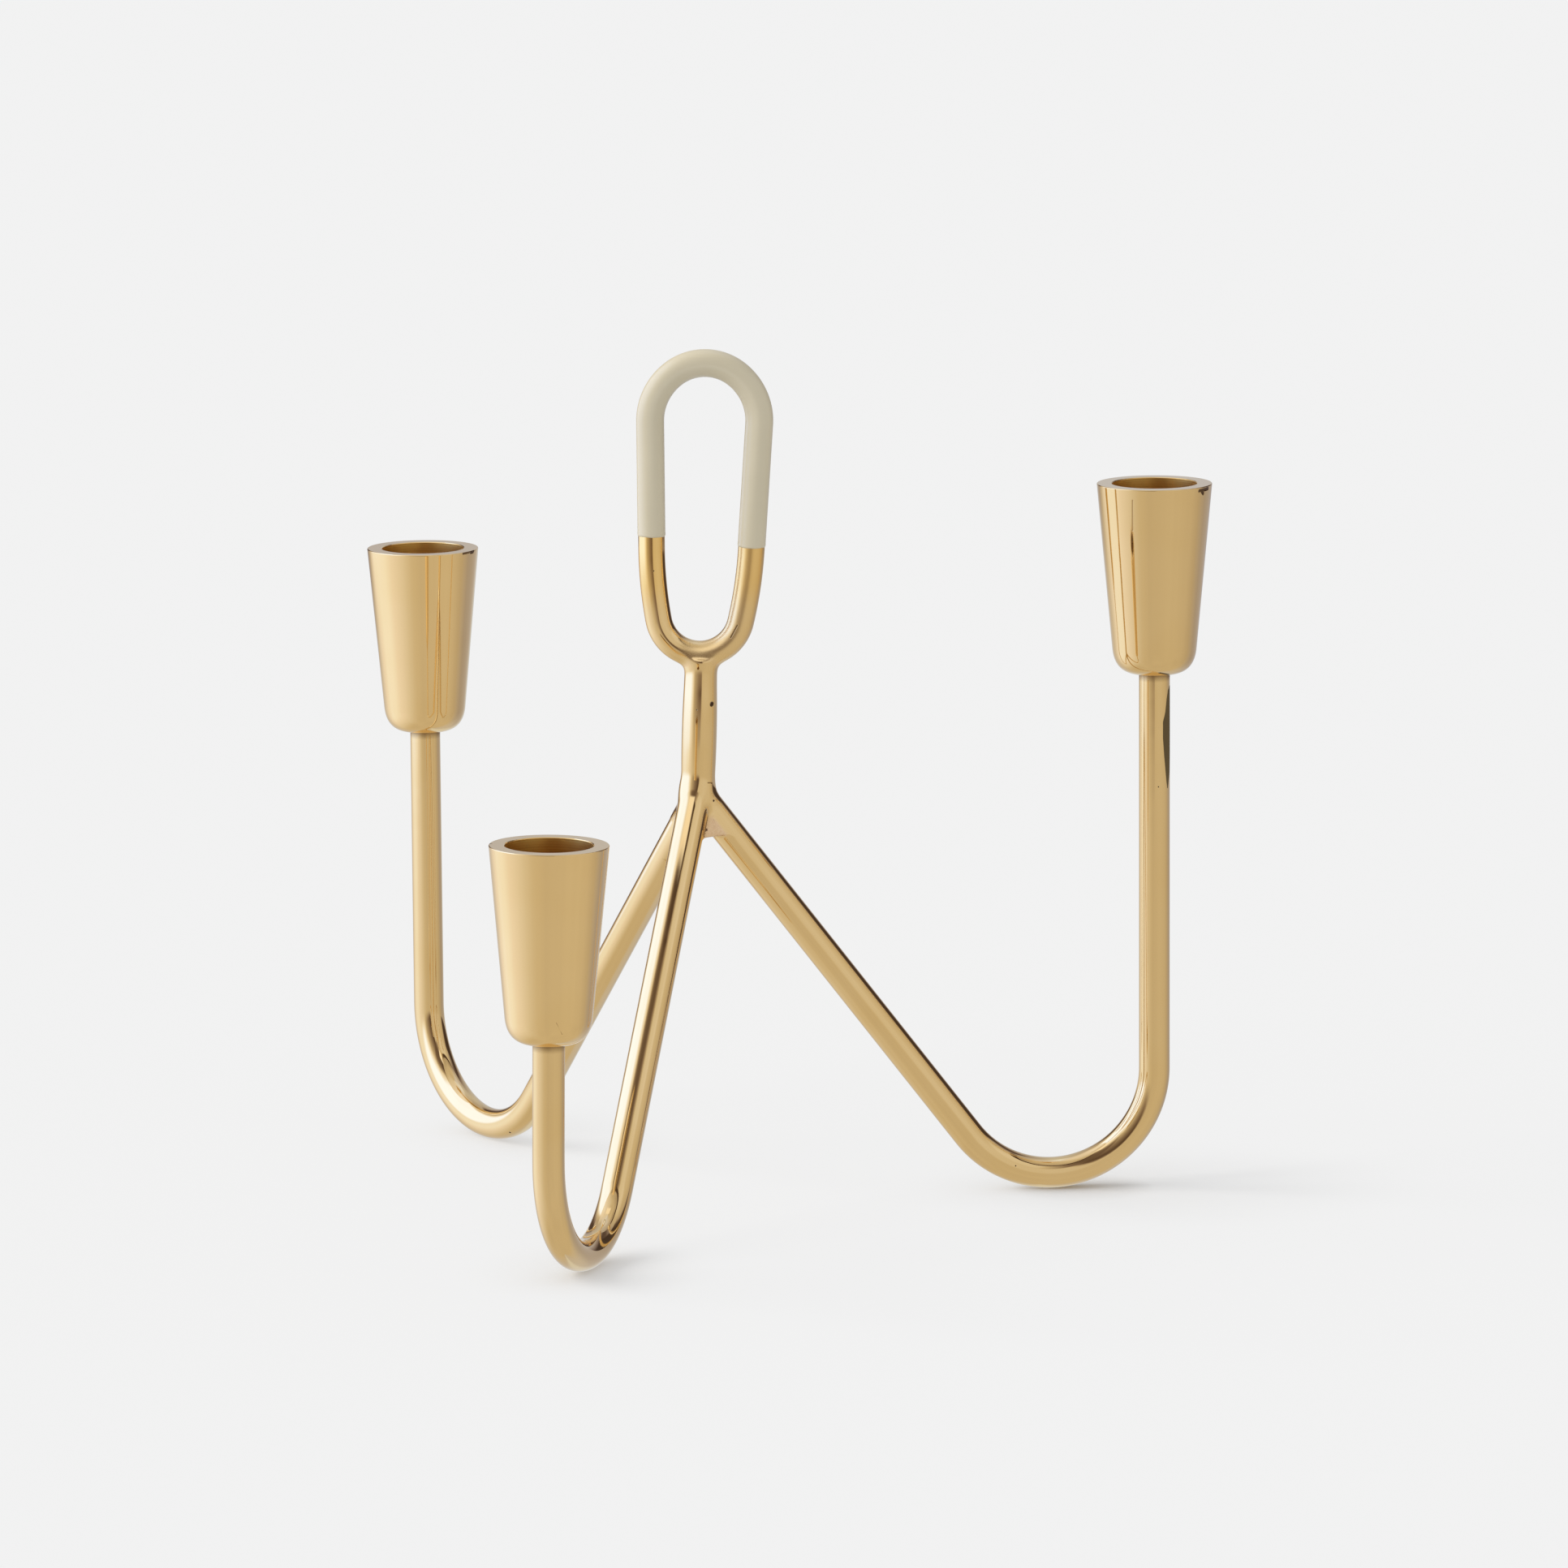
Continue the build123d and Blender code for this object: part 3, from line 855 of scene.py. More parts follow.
def coating_mat():
    """Satin dipped coating, warm grey, with the slight orange peel of a thick film."""
    m, nt, bs = new_mat("ring_coating_satin")
    g = G(nt)
    obj = g.n("ShaderNodeTexCoord").outputs["Object"]
    big = g.noise(obj, 40.0, 3.0, 0.55)
    col = g.mix(g.step(big, 0.3, 0.7), rgb(0.520, 0.466, 0.338), rgb(0.548, 0.491, 0.358))
    speck = g.step(g.noise(obj, 1900.0, 2.0, 0.5), 0.72, 0.80)
    col = g.mix(g.math("MULTIPLY", speck, 0.10), col, rgb(0.36, 0.33, 0.27))
    r = g.math("MULTIPLY_ADD", g.noise(obj, 300.0, 3.0, 0.6), 0.08, 0.27)
    nrm = g.bump(g.noise(obj, 750.0, 2.0, 0.5), 0.22, 0.00002)
    nrm = g.bump(g.noise(obj, 120.0, 2.0, 0.5), 0.20, 0.00008, nrm)
    g.put(bs.inputs["Base Color"], col)
    g.put(bs.inputs["Roughness"], r)
    bs.inputs["IOR"].default_value = 1.62
    g.put(bs.inputs["Normal"], nrm)
    return m


PALE = rgb(0.905, 0.685, 0.365)
PALE_D = rgb(0.890, 0.665, 0.340)
GOLD = rgb(0.930, 0.655, 0.275)
GOLD_D = rgb(0.915, 0.630, 0.245)
# small marks of handling and casting, where the photo shows them
ROD_PITS = [((-18.51, 1.03, 133.17), 0.90), ((-22.56, -0.27, 131.89), 0.22), ((-75.2, 71.72, 3.86), 0.42),
            ((61.14, 9.21, 6.96), 0.22), ((99.27, 13.23, 108.24), 0.22)]
HUB_PITS = [((-18.29, 0.89, 107.46), 0.35), ((-19.17, -1.16, 102.18), 0.40), ((-20.03, -3.16, 99.5), 0.48), ((-18.1, -0.2, 104.6), 0.22)]
# the first line is a shallow groove painted dark, painted shade of the crease where the high arm meets the stem; the
# second is a mark on the braze web
HUB_LINES = [((-19.74, 0.47, 112.3), (-18.68, 1.54, 112.12), 0.24), ((-20.21, -1.37, 104.83), (-21.08, -4.01, 100.53), 0.30)]
# a slight dent painted dark on the front of the joint under the ring: painted shade of a small step there
FOOT_SHADE_SPOT = [((-20.33, -0.58, 143.57), 0.40)]
RING_LINES = [((-11.74, 0.78, 154.07), (-13.47, 0.79, 150.85), 0.30)]
M_ROD = brass("rod_brass_polished", PALE, PALE_D, pits=ROD_PITS, seam=True)
M_JOINT = brass("hub_joint_brass", PALE, PALE_D, along="OBJ", braze=True, pits=HUB_PITS, lines=HUB_LINES)
M_FOOT = brass("ring_joint_brass", GOLD, GOLD_D, along="OBJ", braze=True, pits=FOOT_SHADE_SPOT, lines=RING_LINES, fade=(PALE, PALE_D), haze=0.26)
M_RING = brass("ring_brass_polished", GOLD, GOLD_D, pits=[((-33.53, 0.72, 168.63), 0.22)], lines=RING_LINES,
               fade=(PALE, PALE_D), haze=0.26)
M_STUD = brass("stud_brass_plain", PALE, PALE_D, rough=0.3, along="OBJ")
M_COAT = coating_mat()

# ------------------------------------------------------------------ rods
NS = 96


def rod_rings(P, T, S, n0, r, start_round=0.0, end_round=0.0):
    """Rings of a round rod. Rounded ends are made of three small steps, with their own normals."""
    N, B = frames(T, n0)
    rad = r if callable(r) else (lambda s: r)
    rings = [(P[i], N[i], B[i], T[i], rad(S[i]), 1.0, 0.0) for i in range(len(P))]
    v = list(S)
    if end_round:
        p, n, b, t, rr = P[-1], N[-1], B[-1], T[-1], rad(S[-1])
        rings[-1] = (p - t * end_round, n, b, t, rr, 1.0, 0.0)
        v[-1] = S[-1] - end_round
        for a in (30, 60, 90):
            c, s_ = math.cos(math.radians(a)), math.sin(math.radians(a))
            rings.append((p - t * end_round * (1 - s_), n, b, t, rr - end_round * (1 - c), c, s_))
            v.append(S[-1] - end_round * (1 - s_))
    return rings, np.array(v)


def place(ob, nodes):
    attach(ob, "root")
    if nodes:
        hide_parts(*nodes)
    return ob


for name in ARMS:
    A = ARM[name]
    segs = [line_seg(A["origin"] + A["d"] * HUB_CUT, A["t"])] + A["segs_mid"] + [line_seg(A["u2"], A["seat"])]
    P, T, S = sample(segs, 2.0, 0.8)
    rings, v = rod_rings(P, T, S, A["side"], ROD_R, end_round=0.22)
    # the strip at the foot of each cup that gets the painted shade
    def seam(V, c=A["seat"], up=A["up"]):
        return (((V - c) @ up) > -0.30).astype(float) * (np.linalg.norm(V - c, axis=1) < 6.0)

    ob = loft("rod_" + name, rings, NS, M_ROD, v / 25.0, attrs={"seam": seam})
    place(ob, ["arm_" + name])

# stem
ss = np.linspace(STEM_CUT - 110.0, FOOT_CUT_Z - 110.0, 24)
P = STEM_O + ss[:, None] * STEM_D
T = np.repeat(STEM_D[None], len(ss), 0)
rings, v = rod_rings(P, T, ss, (0, 1, 0), lambda s: float(stem_r(s)))
slope = [-(stem_r(s + 0.01) - stem_r(s - 0.01)) / 0.02 for s in ss]
rings = [(a, b, c, d, e, math.cos(math.atan(k)), math.sin(math.atan(k))) for (a, b, c, d, e, _, _), k in zip(rings, slope)]
place(loft("stem_rod", rings, NS, M_ROD, v / 25.0), ["stem"])

# ring, from cut to cut, and its coating
P, T, S = ring_path()
rings, v = rod_rings(P, T, S, (0, 1, 0), RING_R)


def ring_pale(p):
    """The lower end of the ring is as pale as the stem, the legs are deeper in colour."""
    t = np.clip((166.0 - p[:, 2]) / 10.0, 0, 1)
    return t * t * (3 - 2 * t)


def ring_haze(p):
    """The left leg is bright, the right leg and the bottom are buffed less far."""
    t = np.clip((p[:, 0] - RING_O[0] + 8.5) / 7.0, 0, 1)
    return t * t * (3 - 2 * t) * np.clip((p[:, 2] - 143.5) / 3.0, 0, 1)


place(loft("ring_rod", rings, 80, M_RING, v / 25.0, attrs={"pale": ring_pale, "haze": ring_haze}), ["handle_ring"])


def coating():
    ns = 80
    P, T, S = ring_path(177.05, 174.9)
    N, B = frames(T, (0, 1, 0))
    a = np.linspace(0, 2 * np.pi, ns, endpoint=False)
    ca, sa = np.cos(a), np.sin(a)
    # the film's edges aren't quite straight round the rod
    edge0 = 0.10 * np.cos(a - 0.6) + 0.05 * np.cos(2 * a + 1.0) + 0.03 * np.cos(5 * a)
    edge1 = 0.10 * np.cos(a + 2.2) + 0.06 * np.cos(2 * a - 0.4) + 0.025 * np.cos(6 * a + 2)
    V, NN = [], []

    def ring(i, r, nr, nt, shift=None):
        dirs = N[i] * ca[:, None] + B[i] * sa[:, None]
        p = P[i] + dirs * r
        if shift is not None:
            p = p + T[i] * shift[:, None]
        V.append(p); NN.append(dirs * nr + T[i] * nt)

    lip = 0.45
    n = len(P)
    # outside, from the left edge to the right one
    for t_, r_, nr_, nt_ in ((0.00, RING_R + 0.005, 0.15, -0.99), (0.03, RING_R + 0.05, 0.5, -0.87), (0.10, RING_R + 0.10, 0.8, -0.6), (lip, COAT_R + 0.03, 0.995, 0.03), (1.4, COAT_R, 1.0, 0.02)):
        ring(0, r_, nr_, nt_, edge0 + t_)
    for i in range(2, n - 2):
        ring(i, COAT_R, 1.0, 0.0)
    for t_, r_, nr_, nt_ in ((1.4, COAT_R, 1.0, -0.02), (lip, COAT_R + 0.03, 0.995, -0.03), (0.10, RING_R + 0.10, 0.8, 0.6), (0.03, RING_R + 0.05, 0.5, 0.87), (0.00, RING_R + 0.005, 0.15, 0.99)):
        ring(n - 1, r_, nr_, nt_, edge1 - t_)
    outer = len(V)
    # inside, back to the start, on the rod's own surface
    ring(n - 1, RING_R + 0.002, -1, 0, edge1 - 0.02)
    for i in range(n - 3, 1, -1):
        ring(i, RING_R + 0.002, -1, 0)
    ring(0, RING_R + 0.002, -1, 0, edge0 + 0.02)
    nr = len(V)
    V = np.concatenate(V); NN = np.concatenate(NN)
    NN /= np.linalg.norm(NN, axis=1)[:, None]
    faces = grid_faces(nr, ns, closed=True)
    return make_object("coating", V, faces, NN, None, M_COAT)


place(coating(), ["ring_coating"])

# fused joints
hub_cuts = [(A["origin"] + A["d"] * HUB_CUT, A["d"]) for A in ARM.values()]
hub_cuts.append((STEM_O + STEM_D * (STEM_CUT - 110.0), STEM_D))
c = AXIS + np.array([0, 0, 104.0])


def on_web(p):
    f = hub_rods(p)
    t = np.clip((f - 0.03) / 0.5, 0, 1)
    return t * t * (3 - 2 * t)


hub = implicit_piece("hub_joint", f_hub, c + [-22, -22, -14], c + [24, 22, 20], 0.30, hub_cuts, M_JOINT, {"braze": on_web})
place(hub, ["hub_braze"])


def foot_point(theta):
    p = FOOT_C + FOOT_R * np.array([math.sin(theta), 0, -math.cos(theta)])
    t = np.array([math.cos(theta), 0, math.sin(theta)])
    return ring_world(p), t @ RING_M.T


pr, tr = foot_point(FOOT_CUT_A)
pl, tl = foot_point(-FOOT_CUT_A)
foot_cuts = [(pr, tr), (pl, -tl), (STEM_O + STEM_D * (FOOT_CUT_Z - 110.0), -STEM_D)]


def on_foot(p):
    f = np.minimum(f_stem(p), f_torus(p))
    t = np.clip((f - 0.05) / 0.7, 0, 1)
    return 0.35 * t * t * (3 - 2 * t)


c = ring_world([0, 0, 146])
foot = implicit_piece("ring_joint", f_foot, c + [-17, -6.5, -14], c + [17, 6.5, 11.5], 0.28, foot_cuts, M_FOOT, {"braze": on_foot, "pale": ring_pale, "haze": ring_haze})
place(foot, ["ring_braze"])

# ------------------------------------------------------------------ candle cups
def bezier(p0, p1, p2, p3, n):
    t = np.linspace(0, 1, n)[:, None]
    p0, p1, p2, p3 = map(np.array, (p0, p1, p2, p3))
    p = (1 - t) ** 3 * p0 + 3 * (1 - t) ** 2 * t * p1 + 3 * (1 - t) * t ** 2 * p2 + t ** 3 * p3
    d = 3 * (1 - t) ** 2 * (p1 - p0) + 6 * (1 - t) * t * (p2 - p1) + 3 * t ** 2 * (p3 - p2)
    d /= np.linalg.norm(d, axis=1)[:, None]
    return p, d


def cup_profile():
    head = round_profile([(0, 9, 0), (2.5, 9, 0.15), (2.5, 0, 0.25), (4.55, 0, 0)], 4)
    p, d = bezier((4.8, 0), (8.4, 0.15), (10.73, 2.1), (11.15, 6.7), 26)
    foot_ = [(q[0], q[1], e[1], -e[0]) for q, e in zip(p, d)]
    a = np.array([11.15, 6.7]); b = np.array([15.2, 50.4])
    e = unit(b - a)
    wall = [(a[0] + (b[0] - a[0]) * t, a[1] + (b[1] - a[1]) * t, e[1], -e[0]) for t in np.linspace(0.03, 0.97, 30)]
    top = round_profile([tuple(a) + (0,), (15.21, 50.55, 0.16), (15.05, 50.7, 0.08), (11.42, 50.7, 0.10), (11.2, 50.48, 0.12), (11.2, 25.7, 0.5), (0, 25.7, 0)], 5)[1:]
    out = head + foot_ + wall + top[:-1]
    # a few more rings down the bore and over its floor
    res = []
    for k, q in enumerate(out + [top[-1]]):
        if res:
            q0 = res[-1]
            gap = math.hypot(q[0] - q0[0], q[1] - q0[1])
            if gap > 3.0 and q[0] > 0.1 or gap > 3.0:
                n = int(gap // 1.5)
                for i in range(1, n):
                    t = i / n
                    res.append(tuple(q0[j] + (q[j] - q0[j]) * t for j in range(4)))
        res.append(q)
    return [(r, h, nr / math.hypot(nr, nz), nz / math.hypot(nr, nz)) for r, h, nr, nz in res]


CUP_PROFILE = cup_profile()
# a knocked rim on each, and one scratch: (its two ends in the row frame, half width)
NICKS = {"high": [((109.75, 7.25, 187.95), (112.2, 10.9, 188.15), 0.62), ((110.4, 8.1, 187.8), (110.9, 8.7, 187.1), 0.66)],
         "mid": [((-86.9, 97.8, 159.75), (-84.1, 102.4, 159.9), 0.34), ((-85.0, 100.7, 159.7), (-84.2, 102.0, 159.7), 0.50)],
         "low": [((-73.55, -106.45, 115.19), (-73.70, -106.60, 115.19), 0.52)]}
SCRATCH = {"high": [((92.04, 3.62, 186.0), (92.07, 4.5, 178.0), 0.30)], "mid": [], "low": [((-57.22, -118.83, 71.63), (-55.85, -117.89, 68.54), 0.15)]}
# painted light: the mid and low cups are the same brass as the high one, made lighter as if more strongly lit
CUP_PAINTED_LIGHT = {"high": 1.0, "mid": 1.045, "low": 1.045}


def in_cup(p, base, axis):
    n = unit(np.cross([0, 1, 0], axis))
    q = np.array(p) - base
    return (float(q @ n), float(q @ np.cross(axis, n)), float(q @ axis))


for name in ARMS:
    A = ARM[name]
    pits = [(in_cup(p, A["seat"], A["up"]), in_cup(q, A["seat"], A["up"]), r) for p, q, r in NICKS[name]]
    lines = [(in_cup(p, A["seat"], A["up"]), in_cup(q, A["seat"], A["up"]), r) for p, q, r in SCRATCH[name]]
    # painted light: the mid and low cups' brass is made lighter here
    painted_light_base = [rgb(*(c * CUP_PAINTED_LIGHT[name] for c in col[:3])) for col in (PALE, PALE_D)]
    mat = cup_brass("cup_brass_turned_" + name, painted_light_base[0], painted_light_base[1], pits, lines)
    ob = lathe("cup_" + name, CUP_PROFILE, 160, A["seat"], A["up"], mat)
    place(ob, ["candle_cup_" + name])

for name in ARMS:
    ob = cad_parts["cup_stud_" + name]
    ob.data.materials.clear()
    ob.data.materials.append(M_STUD)

# ------------------------------------------------------------------ floor, camera, light
def floor():
    m, nt, bs = new_mat("floor_pale")
    g = G(nt)
    obj = g.n("ShaderNodeTexCoord").outputs["Object"]
    near = None     # the sweep is evenly lit, and the shadows only show round the feet
    for x, y, sx, sy, top in ((0.103, 0.016, 0.074, 0.060, 0.60), (0.081, 0.014, 0.030, 0.030, 1.0), (-0.051, -0.083, 0.036, 0.040, 0.62),
                              (-0.068, 0.083, 0.045, 0.045, 0.28)):
        d = g.vmath("DISTANCE", g.mapping(obj, scale=(1 / sx, 1 / sy, 1.0), loc=(-x / sx, -y / sy, 0.0)), (0.0, 0.0, 0.0))
        a = g.step(d, 0.25, 1.0, top, 0.0)
        near = a if near is None else g.math("MAXIMUM", near, a)
    g.put(bs.inputs["Base Color"], g.mix(near, rgb(0.12, 0.12, 0.12), rgb(0.69, 0.69, 0.69)))
    bs.inputs["Roughness"].default_value = 1.0
    bs.inputs["Specular IOR Level"].default_value = 0.0
    g.put(bs.inputs["Emission Color"], g.mix(near, rgb(0.7332, 0.7344, 0.7360), rgb(0.0076, 0.0145, 0.0235)))
    bs.inputs["Emission Strength"].default_value = 1.0
    me = bpy.data.meshes.new("floor")
    s = 14.0
    me.from_pydata([(-s, -s, 0), (s, -s, 0), (s, s, 0), (-s, s, 0)], [], [(0, 1, 2, 3)])
    me.materials.append(m)
    ob = bpy.data.objects.new("floor", me)
    bpy.context.scene.collection.objects.link(ob)
    ob.visible_glossy = False
    return ob


floor()

pitch = math.radians(9.57)
roll = math.radians(-0.391)
fwd = Vector((0, math.cos(pitch), -math.sin(pitch)))
rx = Vector((1, 0, 0)); uy = Vector((0, math.sin(pitch), math.cos(pitch)))
right = rx * math.cos(roll) + uy * math.sin(roll)
upv = -rx * math.sin(roll) + uy * math.cos(roll)
cam = bpy.data.cameras.new("camera")
cam.sensor_width = 36.0
cam.lens = 10938.0 / 1932.0 * 36.0
cam.clip_start = 0.05
cam.clip_end = 100.0
co = bpy.data.objects.new("camera", cam)
bpy.context.scene.collection.objects.link(co)
loc = Vector(((22.95 + AXIS[0]) * MM, (-2306.0 + AXIS[1]) * MM, 0.5))
co.matrix_world = Matrix((
    (right[0], upv[0], -fwd[0], loc[0]),
    (right[1], upv[1], -fwd[1], loc[1]),
    (right[2], upv[2], -fwd[2], loc[2]),
    (0, 0, 0, 1),
))
bpy.context.scene.camera = co

def key_light():
    """Soft key from the left. The brass doesn't mirror it: the tent below is what the brass mirrors."""
    li = bpy.data.lights.new("key", "SUN")
    li.energy = 2.3
    li.angle = math.radians(50)
    li.color = (1.0, 0.975, 0.94)
    ob = bpy.data.objects.new("key", li)
    bpy.context.scene.collection.objects.link(ob)
    d = Vector((0.84, 0.05, -0.52))     # the way the light travels
    ob.rotation_mode = "QUATERNION"
    ob.rotation_quaternion = d.to_track_quat("-Z", "Y")
    ob.visible_glossy = False
    return ob


key_light()

w = bpy.data.worlds.new("studio")
bpy.context.scene.world = w
w.use_nodes = True
nt = w.node_tree
nt.nodes.clear()
g = G(nt)
out = g.n("ShaderNodeOutputWorld")
bg = g.n("ShaderNodeBackground")
nt.links.new(bg.outputs[0], out.inputs[0])
bg.inputs[0].default_value = (0.888, 0.888, 0.888, 1)
bg.inputs[1].default_value = 1.0

# What stands round the object in the studio, and is only seen mirrored in the brass: a softbox on the
# left, a lit wall at the front right, dark gaps between them, a pale ceiling and a pale table.
TENT_R = 1.0
TENT_C = (0.1, 0.1, 0.05)
WALL_LOW = ((-180, .46), (-160, .40), (-155, .20), (-149, .07), (-142, .09), (-136, .28), (-129, .60), (-120, 1.12), (-66, 1.12), (-58, .96), (-50, .80), (-42, .52),
            (-35, .40), (-22, .24), (-6, .10), (-1, .14), (3, .60), (40, .64), (75, .58), (95, .50), (101, .40), (106, .12), (112, .05),
            (145, .045), (151, .20), (160, .38), (180, .46))
WALL_HIGH = ((-180, .46), (-150, .46), (-135, .47), (-127, .62), (-118, 1.1), (-70, 1.1), (-60, .90), (-50, .75), (-42, .35), (-32, .16),
             (-8, .13), (2, .2), (14, .45), (22, .66), (60, .69), (90, .60), (108, .46), (120, .26), (130, .12), (144, .10), (156, .32), (180, .46))
COVE = ((-180, .46), (-150, .52), (-135, .68), (-120, .81), (-100, .85), (-80, .78), (-55, .67), (-40, .58), (-20, .50), (0, .47),
        (20, .42), (40, .42), (60, .46), (80, .38), (100, .42), (120, .48), (150, .50), (180, .46))
LINE = ((-180, .46), (-150, .52), (-135, .68), (-120, .81), (-100, .85), (-80, .78), (-58, .66), (-45, .40), (-32, .12), (0, .06),
        (95, .07), (112, .25), (125, .42), (150, .45), (180, .46))
CEILING = ((-180, .66), (-140, .72), (-100, .77), (-60, .70), (-20, .60), (30, .55), (90, .58), (140, .63), (180, .66))
TABLE = ((-180, .54), (-150, .57), (-135, .62), (-120, .80), (-105, .88), (-90, .87), (-75, .81), (-60, .74), (-45, .65), (-30, .57),
         (-15, .54), (0, .555), (45, .57), (80, .53), (100, .46), (120, .38), (150, .42), (180, .52))
COOL = ((-180, 1.0), (-160, .8), (-140, .35), (-120, 0), (95, 0), (110, .5), (125, .9), (150, 1.0), (180, 1.0))
BACK = ((-180, 1.0), (-172, 1.0), (-155, 0), (155, 0), (172, 1.0), (180, 1.0))
TONE = ((0, (.03, .02, .012)), (.10, (.11, .074, .056)), (.25, (.28, .22, .185)), (.50, (.556, .50, .417)), (.57, (.633, .574, .472)),
        (.66, (.733, .706, .667)), (.80, (.889, .882, .944)), (.87, (.967, 1.03, 1.17)), (.92, (1.0, 1.09, 1.36)), (.98, (1.05, 1.22, 1.72)),
        (1.12, (1.14, 1.42, 2.25)))


def tent():
    m = bpy.data.materials.new("studio_tent")
    m.use_nodes = True
    nt = m.node_tree
    nt.nodes.clear()
    g = G(nt)
    out = g.n("ShaderNodeOutputMaterial")
    em = g.n("ShaderNodeEmission")
    nt.links.new(em.outputs[0], out.inputs[0])
    d = g.vmath("NORMALIZE", g.n("ShaderNodeTexCoord").outputs["Object"])
    sep = g.n("ShaderNodeSeparateXYZ")
    nt.links.new(d, sep.inputs[0])
    x, y, z = sep.outputs
    az = g.math("ARCTAN2", x, g.math("MULTIPLY", y, -1.0))
    fac = g.math("MULTIPLY_ADD", az, 1 / (2 * math.pi), 0.5)
    el = g.math("MULTIPLY", g.math("ARCSINE", z), 180 / math.pi)

    def profile(stops):
        return g.ramp(fac, [((a + 180) / 360, (v / 1.25,) * 3) for a, v in stops])

    s = profile(TABLE)
    far = g.mix(g.step(el, -58, -14), rgb(.56 / 1.25, .56 / 1.25, .56 / 1.25), s)
    # on the right the table ends in a hard dark edge, elsewhere it fades into the wall
    hard = g.ramp(fac, [((a + 180) / 360, (v,) * 3) for a, v in ((-180, 0), (88, 0), (98, 1), (148, 1), (160, 0), (180, 0))])
    soft = g.step(el, -7, 2)
    edge = g.math("ADD", g.math("MULTIPLY", hard, g.step(el, -2.8, -1.4)), g.math("MULTIPLY", g.math("SUBTRACT", 1.0, hard), soft))
    s = g.mix(edge, far, profile(WALL_LOW))
    s = g.mix(g.step(el, 27, 34), s, profile(WALL_HIGH))
    s = g.mix(g.step(el, 50, 51.5), s, profile(LINE))
    s = g.mix(g.step(el, 55.5, 57), s, profile(COVE))
    s = g.mix(g.step(el, 60, 71), s, profile(CEILING))
    # nothing in a real room is perfectly even
    s2 = g.math("MULTIPLY_ADD", g.math("SUBTRACT", g.noise(d, 2.6, 3.0, 0.5), 0.5), 0.05, s)
    col = g.ramp(s2, [(v / 1.25, tuple(c / 2.6 for c in cc)) for v, cc in TONE])
    # behind the object stands a cooler, greyer backdrop, which the rims and the outermost edges mirror
    def weight(stops):
        return g.ramp(fac, [((a + 180) / 360, (v,) * 3) for a, v in stops])

    col = g.vmath("MULTIPLY", col, g.mix(weight(COOL), rgb(1, 1, 1), rgb(0.97, 1.07, 1.42)))
    col = g.vmath("MULTIPLY", col, g.mix(weight(BACK), rgb(1, 1, 1), rgb(1.18, 1.24, 1.22)))
    nt.links.new(col, em.inputs[0])
    em.inputs[1].default_value = 2.6
    bm = bmesh.new()
    bmesh.ops.create_icosphere(bm, subdivisions=4, radius=TENT_R)
    bmesh.ops.reverse_faces(bm, faces=bm.faces[:])
    me = bpy.data.meshes.new("studio_tent")
    bm.to_mesh(me)
    bm.free()
    me.materials.append(m)
    ob = bpy.data.objects.new("studio_tent", me)
    ob.location = TENT_C
    bpy.context.scene.collection.objects.link(ob)
    ob.visible_camera = False
    ob.visible_diffuse = False
    ob.visible_shadow = False
    ob.visible_transmission = False
    ob.visible_volume_scatter = False
    return ob


tent()


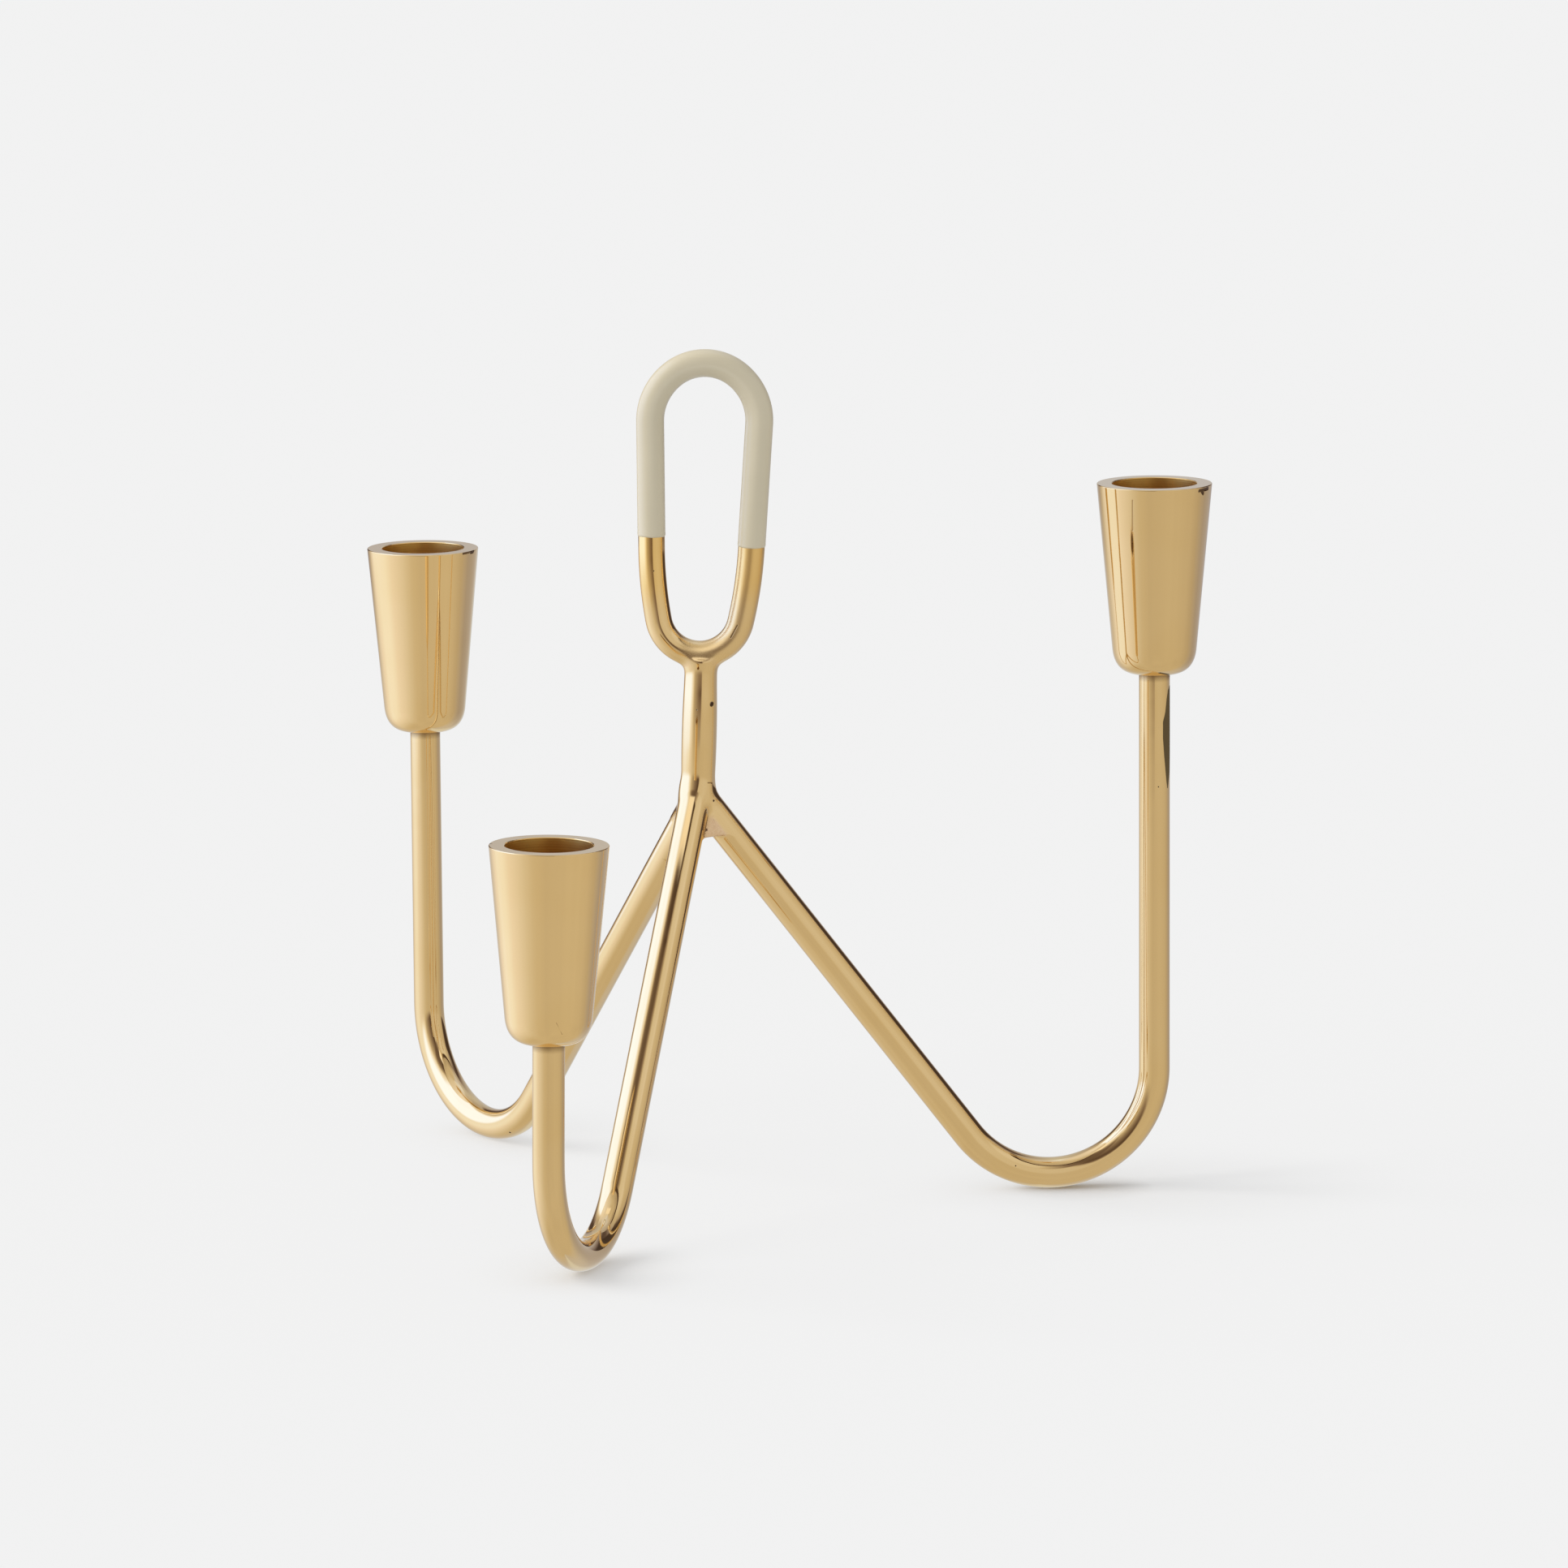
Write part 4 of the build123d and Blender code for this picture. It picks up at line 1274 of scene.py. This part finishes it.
def card():
    """A small pale card close in front of the ring, which only the lower end of the ring mirrors."""
    m = bpy.data.materials.new("studio_card")
    m.use_nodes = True
    nt = m.node_tree
    nt.nodes.clear()
    g = G(nt)
    hx, hy = 0.042, 0.030
    sep = g.n("ShaderNodeSeparateXYZ")
    nt.links.new(g.n("ShaderNodeTexCoord").outputs["Object"], sep.inputs[0])
    ax, ay = g.math("ABSOLUTE", sep.outputs[0]), g.math("ABSOLUTE", sep.outputs[1])
    mask = g.math("MULTIPLY", g.step(ax, hx * 0.55, hx, 1.0, 0.0), g.step(ay, hy * 0.55, hy, 1.0, 0.0))
    em = g.n("ShaderNodeEmission")
    em.inputs[0].default_value = (0.86, 0.83, 0.80, 1)
    em.inputs[1].default_value = 1.2
    mx = g.n("ShaderNodeMixShader")
    g.put(mx.inputs[0], mask)
    nt.links.new(g.n("ShaderNodeBsdfTransparent").outputs[0], mx.inputs[1])
    nt.links.new(em.outputs[0], mx.inputs[2])
    nt.links.new(mx.outputs[0], g.n("ShaderNodeOutputMaterial").inputs[0])
    me = bpy.data.meshes.new("studio_card")
    me.from_pydata([(-hx, -hy, 0), (hx, -hy, 0), (hx, hy, 0), (-hx, hy, 0)], [], [(0, 1, 2, 3)])
    me.materials.append(m)
    ob = bpy.data.objects.new("studio_card", me)
    at, aim = Vector((-0.0400, -0.0472, 0.1997)), Vector((-0.0227, 0.0008, 0.152))
    ob.location = at
    ob.rotation_mode = "QUATERNION"
    ob.rotation_quaternion = (aim - at).to_track_quat("Z", "Y")
    bpy.context.scene.collection.objects.link(ob)
    ob.visible_camera = False
    ob.visible_diffuse = False
    ob.visible_shadow = False
    ob.visible_transmission = False
    ob.visible_volume_scatter = False
    return ob


card()

# height in mm, and the angles round the high upright, from the side that faces the
# camera, between which it mirrors something dark on the right
SHADE = ((134.9, 72, 86), (133.8, 59, 86), (131.6, 51, 88), (128.2, 44, 88), (125.6, 33, 88),
         (121.2, 33, 88), (116.4, 38.5, 86), (112.3, 45, 78), (109.6, 50, 66), (107.6, 55, 59))


def shade():
    """A dark screen close beside the high upright, which only that rod mirrors."""
    m = bpy.data.materials.new("studio_shade")
    m.use_nodes = True
    nt = m.node_tree
    nt.nodes.clear()
    g = G(nt)
    em = g.n("ShaderNodeEmission")
    em.inputs[0].default_value = (0.110, 0.102, 0.094, 1)
    em.inputs[1].default_value = 1.0
    nt.links.new(em.outputs[0], g.n("ShaderNodeOutputMaterial").inputs[0])
    eye = np.array(co.location)
    mid = np.array((0.09833, 0.01722, 0.0))
    front = eye - mid
    front[2] = 0.0
    front /= np.linalg.norm(front)
    right = np.array((-front[1], front[0], 0.0))
    verts, faces, cols = [], [], 7
    for z, a0, a1 in SHADE:
        for k in range(cols):
            a = math.radians(a0 + (a1 - a0) * k / (cols - 1.0))
            n = front * math.cos(a) + right * math.sin(a)
            at = mid + n * 0.004 + np.array((0.0, 0.0, z * MM))
            d = (at - eye) / np.linalg.norm(at - eye)
            verts.append(tuple(at + (d - n * (2.0 * float(d @ n))) * 0.0018))
    for i in range(len(SHADE) - 1):
        for k in range(cols - 1):
            o = i * cols + k
            faces.append((o, o + 1, o + cols + 1, o + cols))
    me = bpy.data.meshes.new("studio_shade")
    me.from_pydata(verts, [], faces)
    me.materials.append(m)
    ob = bpy.data.objects.new("studio_shade", me)
    bpy.context.scene.collection.objects.link(ob)
    ob.visible_camera = False
    ob.visible_diffuse = False
    ob.visible_shadow = False
    ob.visible_transmission = False
    ob.visible_volume_scatter = False
    return ob


shade()
bpy.context.scene.view_settings.view_transform = "Standard"
